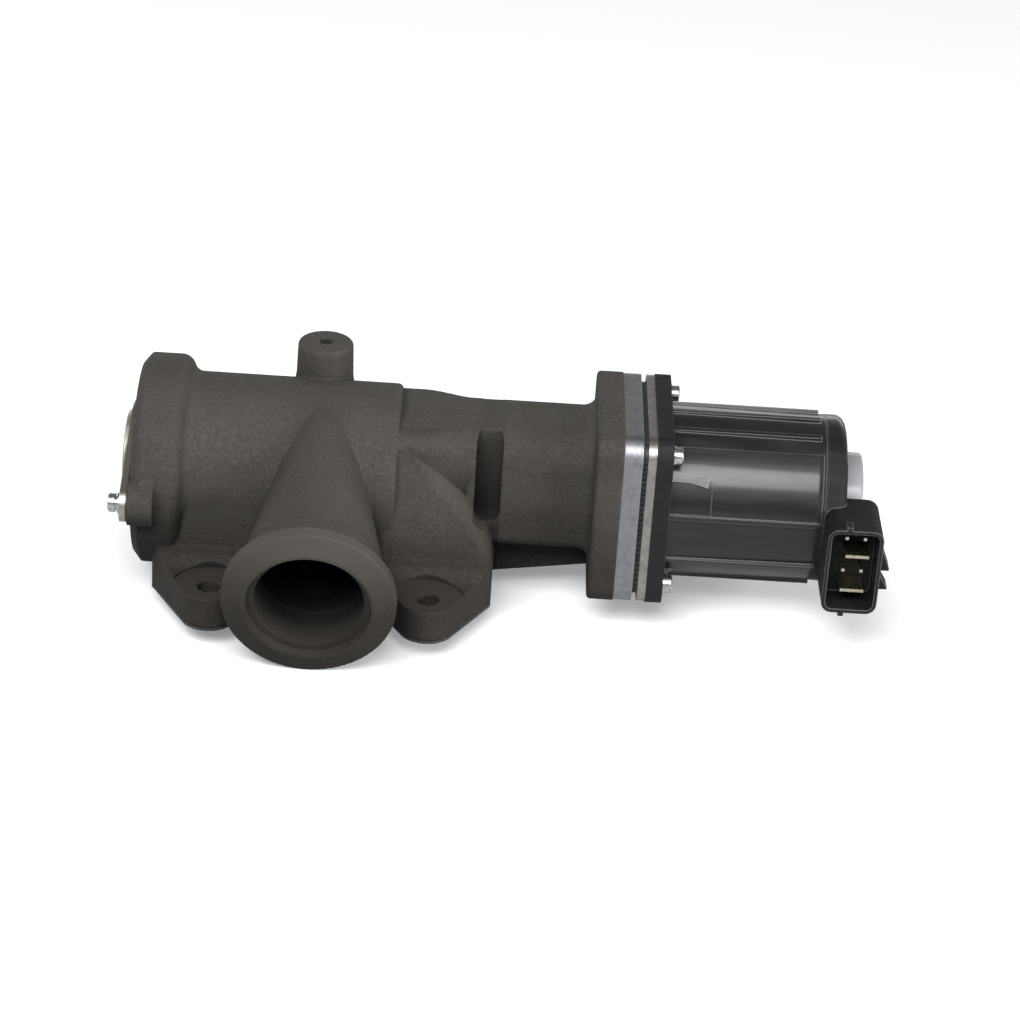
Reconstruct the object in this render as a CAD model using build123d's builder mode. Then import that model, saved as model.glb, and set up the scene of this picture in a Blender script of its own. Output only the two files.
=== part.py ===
"""Exhaust gas recirculation valve for a heavy diesel engine.

A cast-iron body takes exhaust in through two ports on its mounting face and lets it out
through a V-band neck. Two poppets on one stem open and shut together, so that the gas
pressure on them balances. A brushless motor on the right turns a nut that moves the stem,
and a spring in the neck shuts the valve.

Millimetres, +Z up. The origin is the centre of the four mounting bolts on the mounting
face, +X runs along the stem towards the motor, and the outlet looks towards -Y.
"""

import os
from math import atan2, cos, degrees, radians, sin, sqrt

from build123d import *

os.makedirs("parts", exist_ok=True)

# ---------------------------------------------------------------- driving sizes
# mounting face
port_pitch = 100.0          # between the two inlet ports, along X
bolt_pitch = 125.8          # between the two mounting bolts of a port, along Y
bolt_hole_r = 5.5
inlet_flange_width = 58.0   # along X
inlet_flange_straight = 73.6  # straight side, along Y
inlet_corner = 5.0          # upright corners of the flange
inlet_edge = 1.5            # rounding of the flange's top edge
lug_r = 12.7                # rounded end round each mounting bolt
lug_height = 14.8           # from the mounting face to the bolt seat
lug_seat_r = 17.5           # cutter that spot-faces the bolt seat
lug_seat_depth = 0.8
port_width = 36.0
port_length = 74.0
inlet_wall_y = 43.0         # front of a chamber just above its flange
inlet_foot_r = 8.0          # hollow fillet between chamber and flange

# barrel and collar, as distances along X
axis_z = 47.5               # stem axis above the mounting face
barrel_r = 41.7
collar_r = 49.2
collar_x = -88.7            # machined left face
collar_width = 20.7
collar_chamfer = 4.5
collar_corner = 6.0
collar_foot = 4.0           # slope from the collar down to the barrel
collar_fillet = 5.0
barrel_end_x = 32.5
barrel_end_round = 2.6
draft = 0.3                 # casting draft of the barrel over its length
chamber_r = 33.0
left_wall_x = -33.0         # partition that carries the left seat
left_wall_t = 5.0
centre_r = 31.0
right_wall_x = 23.0         # partition that carries the right seat
right_wall_t = 9.0
right_chamber_r = 24.0
right_chamber_end_x = 61.0

# boss on top of the barrel
boss_x = -5.0
boss_y = 23.0
boss_top = 54.5             # above the stem axis
boss_r = 13.4
boss_thread_r = 3.4
boss_thread_depth = 15.0

# left-hand cover and the lugs that hold its bolts
cover_gasket_t = 0.6
cover_t = 3.0
cover_disc_r = 26.5
cover_ear_r = 8.5
cover_dome_r = 23.0
cover_dome_h = 2.8
cover_bolt_y = 48.4
cover_bolt_length = 9.5
lug_end_r = 10.0
lug_length = 11.6
lug_blend = 4.0
cover_neck_t = 12.0         # thickness of the collar's inner lip

# outlet neck
outlet_x = -2.5
outlet_dip = 11.5           # degrees below the horizontal
outlet_bore_r = 25.1
outlet_rim_r = 39.4
outlet_nose_r = 29.8
outlet_pilot_r = 28.4
outlet_pilot_depth = 4.5
outlet_length = 102.0       # stem axis to the nose of the flange
outlet_nose_height = 3.2
outlet_rim_t = 6.2
# distance along the outlet, half width, half height and rise of the neck's sections
outlet_sections = [(8.0, 23.4, 36.0, 5.0), (38.0, 24.0, 34.6, 4.0), (58.0, 28.5, 32.9, 1.5),
                   (77.0, 32.3, 32.3, 0.0)]
passage_sections = [(8.0, 18.4, 29.5, 3.0), (38.0, 19.0, 28.5, 2.0), (58.0, 23.3, 26.6, 0.5),
                    (77.0, 24.4, 24.4, 0.0)]    # the machined bore leaves a narrow step here

# neck towards the motor
neck_half_width = 27.0
neck_top = 33.5
neck_bottom = 23.5
neck_top_corner = 15.0
neck_bottom_corner = 6.0
neck_split = -1.8           # height of the mould's parting line, from the stem axis
neck_draft = 2.6            # how far the lower half leans in
neck_flange_fillet = 6.0
neck_bore_r = 19.0
neck_bore_x = 88.0
pocket_x = 68.4             # pocket that keeps the heat from the motor
pocket_width = 12.3
pocket_depth = 11.0
pocket_corner = 5.0
pocket_bottom = -9.5
pocket_top = 34.0
web_t = 7.0

# square flanges and plates of the motor end
square = 84.7
square_corner = 9.5
square_edge = 2.0
screw_offset = 33.2
square_x = 123.2            # left face of the iron flange
iron_flange_t = 12.3
spacer_t = 8.6
seal_stack_t = 2.4
mount_plate_t = 4.0
motor_flange_t = 7.6
screw_r = 2.5
screw_head_r = 4.2
screw_head_h = 4.6
screw_clear = 0.3
tap_clear = 0.05            # round a screw in its thread

# motor
motor_r = 39.8
motor_length = 71.5         # behind its flange, without the rear cover
motor_wall = 3.6
motor_taper = 0.7
front_seat_wall = 5.0       # of the motor's flange, in front of the first bearing
front_bearing_r = 17.5
rear_bearing_r = 14.0
rotor_journal_r = 8.0
screw_thread_r = 5.0
magnet_t = 3.5
air_gap = 0.7
back_iron = 5.5
tooth_height = 8.7
tooth_count = 9
rear_rim_t = 10.0
rear_rim_round = 5.0

# valve gear
stem_r = 4.0
run_clear = 0.05            # running clearance, radial
seat_gap = 0.2              # between poppet and seat when shut
left_seat_r = 19.0          # inside of the ring
right_seat_r = 16.0
seat_ring_wall = 4.0
seat_ring_t = 6.0
seat_pass = 0.5             # room for the left ring to pass the cover's bore
poppet_overlap = 2.0        # poppet beyond the inside of its seat
poppet_rim_t = 1.6
guide_wall = 4.0            # of the bushing round the stem
seal_wall = 7.0             # of the seal round the stem
seal_depth = 6.0
spring_room = 4.0           # between the spring's coil and the neck's bore

# ---------------------------------------------------------------- worked-out places
left_port_x = -port_pitch / 2
right_port_x = port_pitch / 2
flange_top = lug_height + lug_seat_depth
spacer_x = square_x + iron_flange_t
seal_stack_x = spacer_x + spacer_t
mount_plate_x = seal_stack_x + seal_stack_t
motor_flange_x = mount_plate_x + mount_plate_t
motor_x = motor_flange_x + motor_flange_t
rear_x = motor_x + motor_length
rear_bore_r = motor_r - motor_wall - motor_taper
guide_r = stem_r + guide_wall
seal_r = stem_r + seal_wall
cover_bore_r = left_seat_r + seat_ring_wall + seat_pass
cover_x = collar_x - cover_gasket_t
cover_bolt_places = [(-cover_bolt_y, 0), (cover_bolt_y, 0)]
dip_cos = cos(radians(outlet_dip))
dip_sin = sin(radians(outlet_dip))
stem_axis = Axis((0, 0, axis_z), (1, 0, 0))
outlet_axis = Axis((outlet_x, 0, axis_z), (0, -dip_cos, -dip_sin))


def cross_plane(x):
    """Section plane square to the stem at x: local x is +Y, local y is +Z from the axis."""
    return Plane(origin=(x, 0, axis_z), x_dir=(0, 1, 0), z_dir=(1, 0, 0))


def stem_plane():
    """Plane that holds the stem axis: local x is +X, local y is the radius, upwards."""
    return Plane(origin=(0, 0, axis_z), x_dir=(1, 0, 0), z_dir=(0, -1, 0))


def outlet_section(distance):
    """Section plane square to the outlet's axis, facing out; local y points up."""
    origin = (outlet_x, -distance * dip_cos, axis_z - distance * dip_sin)
    return Plane(origin=origin, x_dir=(1, 0, 0), z_dir=(0, -dip_cos, -dip_sin))


def outlet_profile_plane():
    """Plane that holds the outlet's axis: local x runs out along it, local y is the radius."""
    return Plane(
        origin=(outlet_x, 0, axis_z),
        x_dir=(0, -dip_cos, -dip_sin),
        z_dir=(0, -dip_sin, dip_cos),
    )


def screw_places():
    """The four screw centres round the stem axis, on a section plane."""
    return GridLocations(2 * screw_offset, 2 * screw_offset, 2, 2)


def mounting_bolt_places(port_x):
    """The two mounting bolts of one port, on the mounting face."""
    return Locations((port_x, bolt_pitch / 2), (port_x, -bolt_pitch / 2))


def inlet_outline(port_x):
    """Outline of an inlet flange: a rectangle drawn out to a round lug at each bolt."""
    with BuildSketch(Plane.XY) as outline:
        with Locations((port_x, 0)):
            Rectangle(inlet_flange_width, inlet_flange_straight)
        with mounting_bolt_places(port_x):
            Circle(lug_r)
        make_hull()
    return outline.sketch


def save(part, name):
    """Label a finished piece and write its STEP file."""
    part.label = name
    export_step(part, f"parts/{name}.step")


# ================================================================ casting, form by form
def inlet_flange(port_x):
    """Flange of one port, with hollow feet that rise to the chamber's front and back."""
    foot_top = flange_top + inlet_foot_r + 0.5
    with BuildPart() as flange:
        add(inlet_outline(port_x))
        extrude(amount=foot_top)
        corners = flange.edges().filter_by(Axis.Z).filter_by(
            lambda edge: abs(edge.center().X - port_x) > inlet_flange_width / 2 - 0.1)
        fillet(corners, radius=inlet_corner)
        for side in (-1, 1):
            with BuildSketch(Plane.YZ.offset(port_x - inlet_flange_width / 2 - 1)):
                with BuildLine():
                    FilletPolyline(
                        (side * bolt_pitch, flange_top),
                        (side * inlet_wall_y, flange_top),
                        (side * inlet_wall_y, foot_top + 1),
                        (side * bolt_pitch, foot_top + 1),
                        radius=[0, inlet_foot_r, 0, 0],
                        close=True,
                    )
                make_face()
            extrude(amount=inlet_flange_width + 2, mode=Mode.SUBTRACT)
        lug_tops = flange.faces().filter_by(Axis.Z).filter_by(
            lambda face: abs(face.center().Z - flange_top) < 0.1)
        rim = lug_tops.edges().filter_by(lambda edge: edge.length > 3).filter_by(
            lambda edge: abs(edge.center().Y) > inlet_wall_y + inlet_foot_r + 0.1)
        fillet(rim, radius=inlet_edge)
    return flange.part


# right chamber: height, left side, right side, half length and corner of its sections
chamber_sections = [(8.0, 21.6, 78.4, 42.8, 4.0), (16.0, 21.6, 78.4, 42.7, 4.0),
                    (24.0, 21.6, 78.2, 42.2, 5.0), (50.0, 20.0, 65.5, 36.5, 9.0),
                    (79.5, 18.0, 50.0, 29.0, 12.0)]
chamber_top_round = 8.0
with BuildPart() as right_chamber:
    for height, left_x, right_x, half_length, corner in chamber_sections:
        with BuildSketch(Plane.XY.offset(height)):
            with Locations(((left_x + right_x) / 2, 0)):
                RectangleRounded(right_x - left_x, 2 * half_length, corner)
    loft()
    fillet(right_chamber.faces().sort_by(Axis.Z)[-1].edges(), radius=chamber_top_round)

# left chamber, straight down from the barrel to its port
with BuildPart() as left_chamber:
    for height, half_length in ((8.0, inlet_wall_y - 0.2), (axis_z, barrel_r - 0.2)):
        with BuildSketch(Plane.XY.offset(height)):
            with Locations((left_port_x, 0)):
                RectangleRounded(inlet_flange_width - 1.2, 2 * half_length, 5)
    loft()

# neck and square flange towards the motor
with BuildPart() as motor_neck:
    with BuildSketch(cross_plane(barrel_end_x - 5)):
        with BuildLine():
            FilletPolyline(
                (-neck_half_width + neck_draft, -neck_bottom),
                (neck_half_width - neck_draft, -neck_bottom),
                (neck_half_width, neck_split),
                (neck_half_width - 0.4, neck_top),
                (-neck_half_width + 0.4, neck_top),
                (-neck_half_width, neck_split),
                radius=[neck_bottom_corner] * 2 + [40.0] + [neck_top_corner] * 2 + [40.0],
                close=True,
            )
        make_face()
    extrude(amount=square_x - barrel_end_x + 5)
    with BuildSketch(cross_plane(square_x)):
        RectangleRounded(square, square, square_corner)
    extrude(amount=iron_flange_t)
    flange_back = motor_neck.faces().filter_by(Axis.X).sort_by(Axis.X)[1]
    fillet(flange_back.inner_wires()[0].edges(), radius=neck_flange_fillet)
    flange_back = motor_neck.faces().filter_by(Axis.X).sort_by(Axis.X)[1]
    fillet(flange_back.outer_wire().edges(), radius=square_edge)

# boss on top, with a hollow foot
with BuildPart() as boss:
    boss_plane = Plane(origin=(boss_x, boss_y, axis_z), x_dir=(1, 0, 0), z_dir=(0, -1, 0))
    with BuildSketch(boss_plane):
        with BuildLine():
            FilletPolyline(
                (0, 12),
                (boss_r + 3.5, 12),
                (boss_r, 38),
                (boss_r - 0.5, boss_top),
                (0, boss_top),
                radius=[0, 0, 14.0, 2.2, 0],
                close=True,
            )
        make_face()
    revolve(axis=Axis((boss_x, boss_y, axis_z), (0, 0, 1)))

# outlet neck, tall where it meets the barrel and round behind its V-band flange
rim_front = outlet_length - outlet_nose_height
rim_back = rim_front - outlet_rim_t
neck_r = outlet_sections[-1][1]
bore_start = outlet_sections[-1][0] - 1
with BuildPart() as outlet_neck:
    for distance, half_width, half_height, rise in outlet_sections:
        with BuildSketch(outlet_section(distance)):
            with Locations((0, rise)):
                Ellipse(half_width, half_height + 0.01)
    loft()
    with BuildSketch(outlet_profile_plane()):
        with BuildLine():
            FilletPolyline(
                (bore_start, 0),
                (bore_start, neck_r - 0.2),
                (rim_back - 7, neck_r + 0.6),
                (rim_back - 3.2, neck_r + 2.2),
                (rim_back, outlet_rim_r),
                (rim_front, outlet_rim_r),
                (outlet_length, outlet_nose_r),
                (outlet_length, 0),
                radius=[0, 4.0, 1.5, 0.8, 0.8, 0.4],
            )
            Line((outlet_length, 0), (bore_start, 0))
        make_face()
    revolve(axis=outlet_axis)

# ================================================================ casting, whole
collar_end_x = collar_x + collar_width
# centre of the hollow blend that touches both the collar and the lug's round end
blend_y = ((collar_r + lug_blend) ** 2 - (lug_end_r + lug_blend) ** 2 + cover_bolt_y ** 2) / (
    2 * cover_bolt_y)
blend_z = sqrt((collar_r + lug_blend) ** 2 - blend_y ** 2)

with BuildPart() as valve_housing:
    # barrel with its collar, turned about the stem
    with BuildSketch(stem_plane()):
        with BuildLine():
            FilletPolyline(
                (collar_x, 0),
                (collar_x, collar_r - collar_chamfer),
                (collar_x + collar_chamfer * 0.8, collar_r),
                (collar_end_x, collar_r),
                (collar_end_x + collar_foot, barrel_r),
                (barrel_end_x, barrel_r - draft),
                (barrel_end_x, 0),
                radius=[0, 1.5, collar_corner, collar_fillet, barrel_end_round],
            )
            Line((barrel_end_x, 0), (collar_x, 0))
        make_face()
    revolve(axis=stem_axis)
    # lugs for the cover's bolts, blended into the collar
    for side in (-1, 1):
        with BuildSketch(cross_plane(collar_x)):
            with Locations((side * cover_bolt_y, 0)):
                Circle(lug_end_r)
            with Locations((side * (cover_bolt_y - lug_end_r), 0)):
                Rectangle(2 * lug_end_r, 2 * lug_end_r)
        extrude(amount=lug_length)
        with BuildSketch(cross_plane(collar_x + collar_chamfer)):
            Circle(collar_r - 0.1)
            Polygon(
                (0, 0),
                (side * blend_y, blend_z),
                (side * cover_bolt_y, 0),
                (side * blend_y, -blend_z),
                align=None,
            )
            with Locations((side * blend_y, blend_z), (side * blend_y, -blend_z)):
                Circle(lug_blend, mode=Mode.SUBTRACT)
        extrude(amount=lug_length - collar_chamfer)
    add(left_chamber.part)
    add(right_chamber.part)
    for port_x in (left_port_x, right_port_x):
        add(inlet_flange(port_x))
    add(motor_neck.part)
    # web under the neck
    with BuildSketch(Plane.XZ.offset(-web_t / 2)):
        with BuildLine():
            Polyline(
                (right_port_x, 0),
                (right_port_x + inlet_flange_width / 2, 0),
                (square_x + 2, axis_z - square / 2 + 1.5),
                (square_x + 2, axis_z),
                (right_port_x, axis_z),
                close=True,
            )
        make_face()
    extrude(amount=web_t)
    add(boss.part)
    add(outlet_neck.part)

    # ------------------------------------------------------------ inside
    # left chamber behind the collar's lip
    with BuildSketch(cross_plane(collar_x)):
        Circle(cover_bore_r)
    extrude(amount=cover_neck_t + 1, mode=Mode.SUBTRACT)
    with BuildSketch(cross_plane(collar_x + cover_neck_t)):
        Circle(chamber_r)
    extrude(amount=left_wall_x - collar_x - cover_neck_t, mode=Mode.SUBTRACT)
    # bore for the left seat ring
    with BuildSketch(cross_plane(left_wall_x - 1)):
        Circle(left_seat_r + seat_ring_wall)
    extrude(amount=left_wall_t + 2, mode=Mode.SUBTRACT)
    # centre chamber
    with BuildSketch(cross_plane(left_wall_x + left_wall_t)):
        Circle(centre_r)
    extrude(amount=right_wall_x - left_wall_x - left_wall_t, mode=Mode.SUBTRACT)
    # bore for the right seat ring
    with BuildSketch(cross_plane(right_wall_x - 1)):
        Circle(right_seat_r + seat_ring_wall)
    extrude(amount=right_wall_t + 2, mode=Mode.SUBTRACT)
    # right chamber
    with BuildSketch(cross_plane(right_wall_x + right_wall_t)):
        Circle(right_chamber_r)
    extrude(amount=right_chamber_end_x - right_wall_x - right_wall_t, mode=Mode.SUBTRACT)
    # left port
    with BuildSketch(Plane.XY):
        with Locations((left_port_x, 0)):
            RectangleRounded(port_width, port_length, 5)
    extrude(amount=axis_z - 14, mode=Mode.SUBTRACT)
    # right port, narrower towards the chamber
    with BuildSketch(Plane.XY):
        with Locations((right_port_x, 0)):
            RectangleRounded(port_width, port_length, 5)
    with BuildSketch(Plane.XY.offset(axis_z)):
        with Locations((right_port_x - 3, 0)):
            RectangleRounded(port_width - 10, 2 * right_chamber_r - 4, 4)
    loft(mode=Mode.SUBTRACT)
    # outlet passage, tall and narrow at the valve and round at its flange
    for distance, half_width, half_height, rise in passage_sections:
        with BuildSketch(outlet_section(distance)):
            with Locations((0, rise)):
                Ellipse(half_width, half_height + 0.01)
    loft(mode=Mode.SUBTRACT)
    with BuildSketch(outlet_section(bore_start)):
        Circle(outlet_bore_r)
    extrude(amount=outlet_length - bore_start + 1, mode=Mode.SUBTRACT)
    with BuildSketch(outlet_section(outlet_length - outlet_pilot_depth)):
        Circle(outlet_pilot_r)
    extrude(amount=outlet_pilot_depth + 1, mode=Mode.SUBTRACT)
    # stem guide bore, seal seat and spring chamber
    with BuildSketch(cross_plane(right_chamber_end_x - 1)):
        Circle(guide_r)
    extrude(amount=neck_bore_x - right_chamber_end_x + 2, mode=Mode.SUBTRACT)
    with BuildSketch(cross_plane(neck_bore_x - seal_depth)):
        Circle(seal_r)
    extrude(amount=seal_depth + 1, mode=Mode.SUBTRACT)
    with BuildSketch(cross_plane(neck_bore_x)):
        Circle(neck_bore_r)
    extrude(amount=spacer_x - neck_bore_x + 1, mode=Mode.SUBTRACT)
    # heat pockets, front and back, open at the neck's round shoulder
    for side in (-1, 1):
        with BuildSketch(Plane.XZ.offset(-side * (neck_half_width + 10))):
            with BuildLine():
                FilletPolyline(
                    (pocket_x, axis_z + pocket_top),
                    (pocket_x, axis_z + pocket_bottom),
                    (pocket_x + pocket_width, axis_z + pocket_bottom),
                    (pocket_x + pocket_width, axis_z + pocket_top),
                    radius=[pocket_corner] * 4,
                    close=True,
                )
            make_face()
        extrude(amount=side * (pocket_depth + 10), mode=Mode.SUBTRACT)
    # mounting bolt holes and their seats
    for port_x in (left_port_x, right_port_x):
        with BuildSketch(Plane.XY.offset(lug_height)):
            with mounting_bolt_places(port_x):
                Circle(lug_seat_r)
        extrude(amount=12, mode=Mode.SUBTRACT)
        with BuildSketch(Plane.XY):
            with mounting_bolt_places(port_x):
                Circle(bolt_hole_r)
        extrude(amount=flange_top + 1, mode=Mode.SUBTRACT)
    # the machined mounting face takes the bottom off the collar
    with BuildSketch(Plane.XY):
        with Locations((collar_x + collar_width / 2, 0)):
            Rectangle(collar_width + 12, collar_r)
    extrude(amount=-(collar_r - axis_z + 1), mode=Mode.SUBTRACT)
    # tapped holes: motor screws, cover bolts and the boss
    with BuildSketch(cross_plane(square_x)):
        with screw_places():
            Circle(screw_r + tap_clear)
    extrude(amount=iron_flange_t, mode=Mode.SUBTRACT)
    with BuildSketch(cross_plane(collar_x)):
        with Locations(*cover_bolt_places):
            Circle(screw_r + tap_clear)
    extrude(amount=cover_bolt_length + 0.5, mode=Mode.SUBTRACT)
    with BuildSketch(Plane.XY.offset(axis_z + boss_top - boss_thread_depth)):
        with Locations((boss_x, boss_y)):
            Circle(boss_thread_r)
    extrude(amount=boss_thread_depth + 1, mode=Mode.SUBTRACT)

save(valve_housing.part, "valve_housing")


# ================================================================ left-hand cover
def cover_outline(inner_r):
    """Oval of the cover: a disc drawn out to an ear at each bolt."""
    with BuildSketch() as outline:
        Circle(cover_disc_r)
        with Locations(*cover_bolt_places):
            Circle(cover_ear_r)
        make_hull()
        if inner_r:
            Circle(inner_r, mode=Mode.SUBTRACT)
        with Locations(*cover_bolt_places):
            Circle(screw_r + screw_clear, mode=Mode.SUBTRACT)
    return outline.sketch


with BuildPart() as end_cover_gasket:
    with BuildSketch(cross_plane(cover_x)):
        add(cover_outline(cover_bore_r))
    extrude(amount=cover_gasket_t)
save(end_cover_gasket.part, "end_cover_gasket")

with BuildPart() as end_cover:
    with BuildSketch(cross_plane(cover_x - cover_t)):
        add(cover_outline(0))
    extrude(amount=cover_t)
    # pressed dome, hollow from behind
    for start_x, dome_r, round_r, mode in (
        (cover_x - cover_t, cover_dome_r, 2.4, Mode.ADD),
        (cover_x, cover_dome_r - 2.0, 1.6, Mode.SUBTRACT),
    ):
        with BuildSketch(stem_plane()):
            with BuildLine():
                FilletPolyline(
                    (start_x + 0.2, 0),
                    (start_x + 0.2, dome_r),
                    (start_x, dome_r),
                    (start_x - cover_dome_h, dome_r - 2.0),
                    (start_x - cover_dome_h - 0.2, 0),
                    radius=[0, 0, round_r],
                )
                Line((start_x - cover_dome_h - 0.2, 0), (start_x + 0.2, 0))
            make_face()
        revolve(axis=stem_axis, mode=mode)
save(end_cover.part, "end_cover")

cover_bolt_head_h = 5.6
cover_bolt_head_r = 4.4
with BuildPart() as end_cover_bolts:
    for place_y, place_z in cover_bolt_places:
        bolt_axis_z = axis_z + place_z
        bolt_plane = Plane(origin=(0, place_y, bolt_axis_z), x_dir=(1, 0, 0), z_dir=(0, -1, 0))
        head_x = cover_x - cover_t
        with BuildSketch(bolt_plane):
            with BuildLine():
                Polyline(
                    (collar_x + cover_bolt_length, 0),
                    (collar_x + cover_bolt_length, screw_r - 0.5),
                    (collar_x + cover_bolt_length - 0.5, screw_r),
                    (head_x, screw_r),
                    (head_x, cover_bolt_head_r + 0.4),
                    (head_x - 1.2, cover_bolt_head_r + 0.4),
                    (head_x - 1.4, cover_bolt_head_r - 1.0),
                    (head_x - 2.0, cover_bolt_head_r - 1.0),
                    (head_x - 2.2, cover_bolt_head_r),
                    (head_x - cover_bolt_head_h + 0.7, cover_bolt_head_r),
                    (head_x - cover_bolt_head_h, cover_bolt_head_r - 0.8),
                    (head_x - cover_bolt_head_h, 0),
                    close=True,
                )
            make_face()
        revolve(axis=Axis((0, place_y, bolt_axis_z), (1, 0, 0)))
        with BuildSketch(Plane(origin=(head_x - cover_bolt_head_h, place_y, bolt_axis_z),
                               x_dir=(0, 1, 0), z_dir=(1, 0, 0))):
            RegularPolygon(2.3, 6)
        extrude(amount=2.6, mode=Mode.SUBTRACT)
save(end_cover_bolts.part, "end_cover_bolts")


# ================================================================ valve seats and poppets
def seat_ring(name, left_x, inner_r):
    """Seat ring pressed into its partition, with a 45 degree seat facing left."""
    outer_r = inner_r + seat_ring_wall
    with BuildPart() as ring:
        with BuildSketch(stem_plane()):
            with BuildLine():
                Polyline(
                    (left_x, inner_r + poppet_overlap),
                    (left_x, outer_r),
                    (left_x + seat_ring_t, outer_r),
                    (left_x + seat_ring_t, inner_r),
                    (left_x + poppet_overlap, inner_r),
                    close=True,
                )
            make_face()
        revolve(axis=stem_axis)
    save(ring.part, name)


def poppet(name, seat_left_x, inner_r, hub_length):
    """Poppet head on the stem, shut against the left side of its seat."""
    face_x = seat_left_x - seat_gap * sqrt(2)
    rim_r = inner_r + poppet_overlap
    with BuildPart() as head:
        with BuildSketch(stem_plane()):
            with BuildLine():
                Polyline(
                    (face_x - poppet_rim_t - 3.2, stem_r),
                    (face_x - poppet_rim_t - 3.2, stem_r + 4.5),
                    (face_x - poppet_rim_t, rim_r - 1.5),
                    (face_x - poppet_rim_t, rim_r),
                    (face_x, rim_r),
                    (face_x + poppet_overlap, inner_r),
                    (face_x + poppet_overlap + 1.2, inner_r - 2.0),
                    (face_x + poppet_overlap + 2.0, stem_r + 4.0),
                    (face_x + hub_length, stem_r + 3.2),
                    (face_x + hub_length, stem_r),
                    close=True,
                )
            make_face()
        revolve(axis=stem_axis)
    save(head.part, name)


left_seat_x = left_wall_x - 0.5
right_seat_x = right_wall_x
seat_ring("seat_ring_left", left_seat_x, left_seat_r)
seat_ring("seat_ring_right", right_seat_x, right_seat_r)
poppet("poppet_left", left_seat_x, left_seat_r, 9.0)
poppet("poppet_right", right_seat_x, right_seat_r, 9.0)

# ---------------------------------------------------------------- stem and what is on it
stem_left_x = left_seat_x - 15.5
nut_t = 6.0
retainer_x = neck_bore_x + 28.0
retainer_t = 3.0
stem_right_x = retainer_x + retainer_t + 5.0
poppet_left_hub_x = left_seat_x - seat_gap * sqrt(2) - poppet_rim_t - 3.2

with BuildPart() as valve_stem:
    with BuildSketch(stem_plane()):
        with BuildLine():
            Polyline(
                (stem_left_x, 0),
                (stem_left_x, stem_r - 0.8),
                (stem_left_x + 0.8, stem_r),
                (stem_right_x, stem_r),
                (stem_right_x, 0),
                close=True,
            )
        make_face()
    revolve(axis=stem_axis)
save(valve_stem.part, "valve_stem")

with BuildPart() as stem_nut:
    with BuildSketch(cross_plane(poppet_left_hub_x - nut_t)):
        RegularPolygon(7.5, 6)
        Circle(stem_r, mode=Mode.SUBTRACT)
    extrude(amount=nut_t)
save(stem_nut.part, "stem_nut")

with BuildPart() as stem_guide:
    with BuildSketch(cross_plane(right_chamber_end_x)):
        Circle(guide_r)
        Circle(stem_r + run_clear, mode=Mode.SUBTRACT)
    extrude(amount=neck_bore_x - seal_depth - right_chamber_end_x)
    chamfer(stem_guide.edges().filter_by(GeomType.CIRCLE).group_by(Axis.X)[0].sort_by(SortBy.RADIUS)[-1],
            0.8)
save(stem_guide.part, "stem_guide")

with BuildPart() as stem_seal:
    with BuildSketch(stem_plane()):
        with BuildLine():
            Polyline(
                (neck_bore_x - seal_depth, stem_r + run_clear),
                (neck_bore_x - seal_depth, seal_r),
                (neck_bore_x - 1, seal_r),
                (neck_bore_x - 1, seal_r - 1.6),
                (neck_bore_x - 4.4, seal_r - 1.6),
                (neck_bore_x - 4.4, stem_r + 2.2),
                (neck_bore_x - 1.6, stem_r + 0.9),
                (neck_bore_x - 1.6, stem_r + run_clear),
                close=True,
            )
        make_face()
    revolve(axis=stem_axis)
save(stem_seal.part, "stem_seal")

# return spring: shut ends rest on the neck's floor and on the retainer
spring_r = neck_bore_r - spring_room
spring_wire_r = 1.3
spring_turns = 5.5
spring_left_x = neck_bore_x + spring_wire_r + 0.1
spring_right_x = retainer_x - spring_wire_r - 0.1
spring_length = spring_right_x - spring_left_x
with BuildPart() as return_spring:
    with BuildLine() as coil:
        Helix(
            pitch=spring_length / spring_turns,
            height=spring_length,
            radius=spring_r,
            center=(spring_left_x, 0, axis_z),
            direction=(1, 0, 0),
        )
    with BuildSketch(Plane(origin=coil.line @ 0, z_dir=coil.line % 0)):
        RegularPolygon(spring_wire_r, 8)
    sweep(is_frenet=True)
save(return_spring.part, "return_spring")

with BuildPart() as spring_retainer:
    with BuildSketch(stem_plane()):
        with BuildLine():
            Polyline(
                (retainer_x - 4.0, stem_r),
                (retainer_x - 4.0, spring_r - spring_wire_r - 1.0),
                (retainer_x, spring_r - spring_wire_r - 0.6),
                (retainer_x, spring_r + spring_wire_r + 1.0),
                (retainer_x + retainer_t, spring_r + spring_wire_r + 1.0),
                (retainer_x + retainer_t, stem_r),
                close=True,
            )
        make_face()
    revolve(axis=stem_axis)
save(spring_retainer.part, "spring_retainer")

# ================================================================ plates of the motor end

def square_plate(name, x, thickness, side, corner, bore_r):
    """Square plate on the stem axis with the four screw holes and a round bore."""
    with BuildPart() as plate:
        with BuildSketch(cross_plane(x)):
            RectangleRounded(side, side, corner)
            Circle(bore_r, mode=Mode.SUBTRACT)
            with screw_places():
                Circle(screw_r + screw_clear, mode=Mode.SUBTRACT)
        extrude(amount=thickness)
        chamfer(plate.edges().filter_by(Plane.YZ).group_by(SortBy.LENGTH)[-1], 0.3)
    save(plate.part, name)


square_plate("cooling_spacer", spacer_x, spacer_t, square - 0.6, square_corner, neck_bore_r)
square_plate("actuator_mount_plate", mount_plate_x, mount_plate_t, square - 0.8, square_corner,
             neck_bore_r)

# layered steel gasket between the plates, set back from their edges, with a raised bead
with BuildPart() as insulating_gasket:
    with BuildSketch(cross_plane(seal_stack_x)):
        RectangleRounded(square - 7, square - 7, square_corner - 2)
        Circle(neck_bore_r, mode=Mode.SUBTRACT)
        with screw_places():
            Circle(screw_r + screw_clear, mode=Mode.SUBTRACT)
    extrude(amount=seal_stack_t)
save(insulating_gasket.part, "insulating_gasket")

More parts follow.
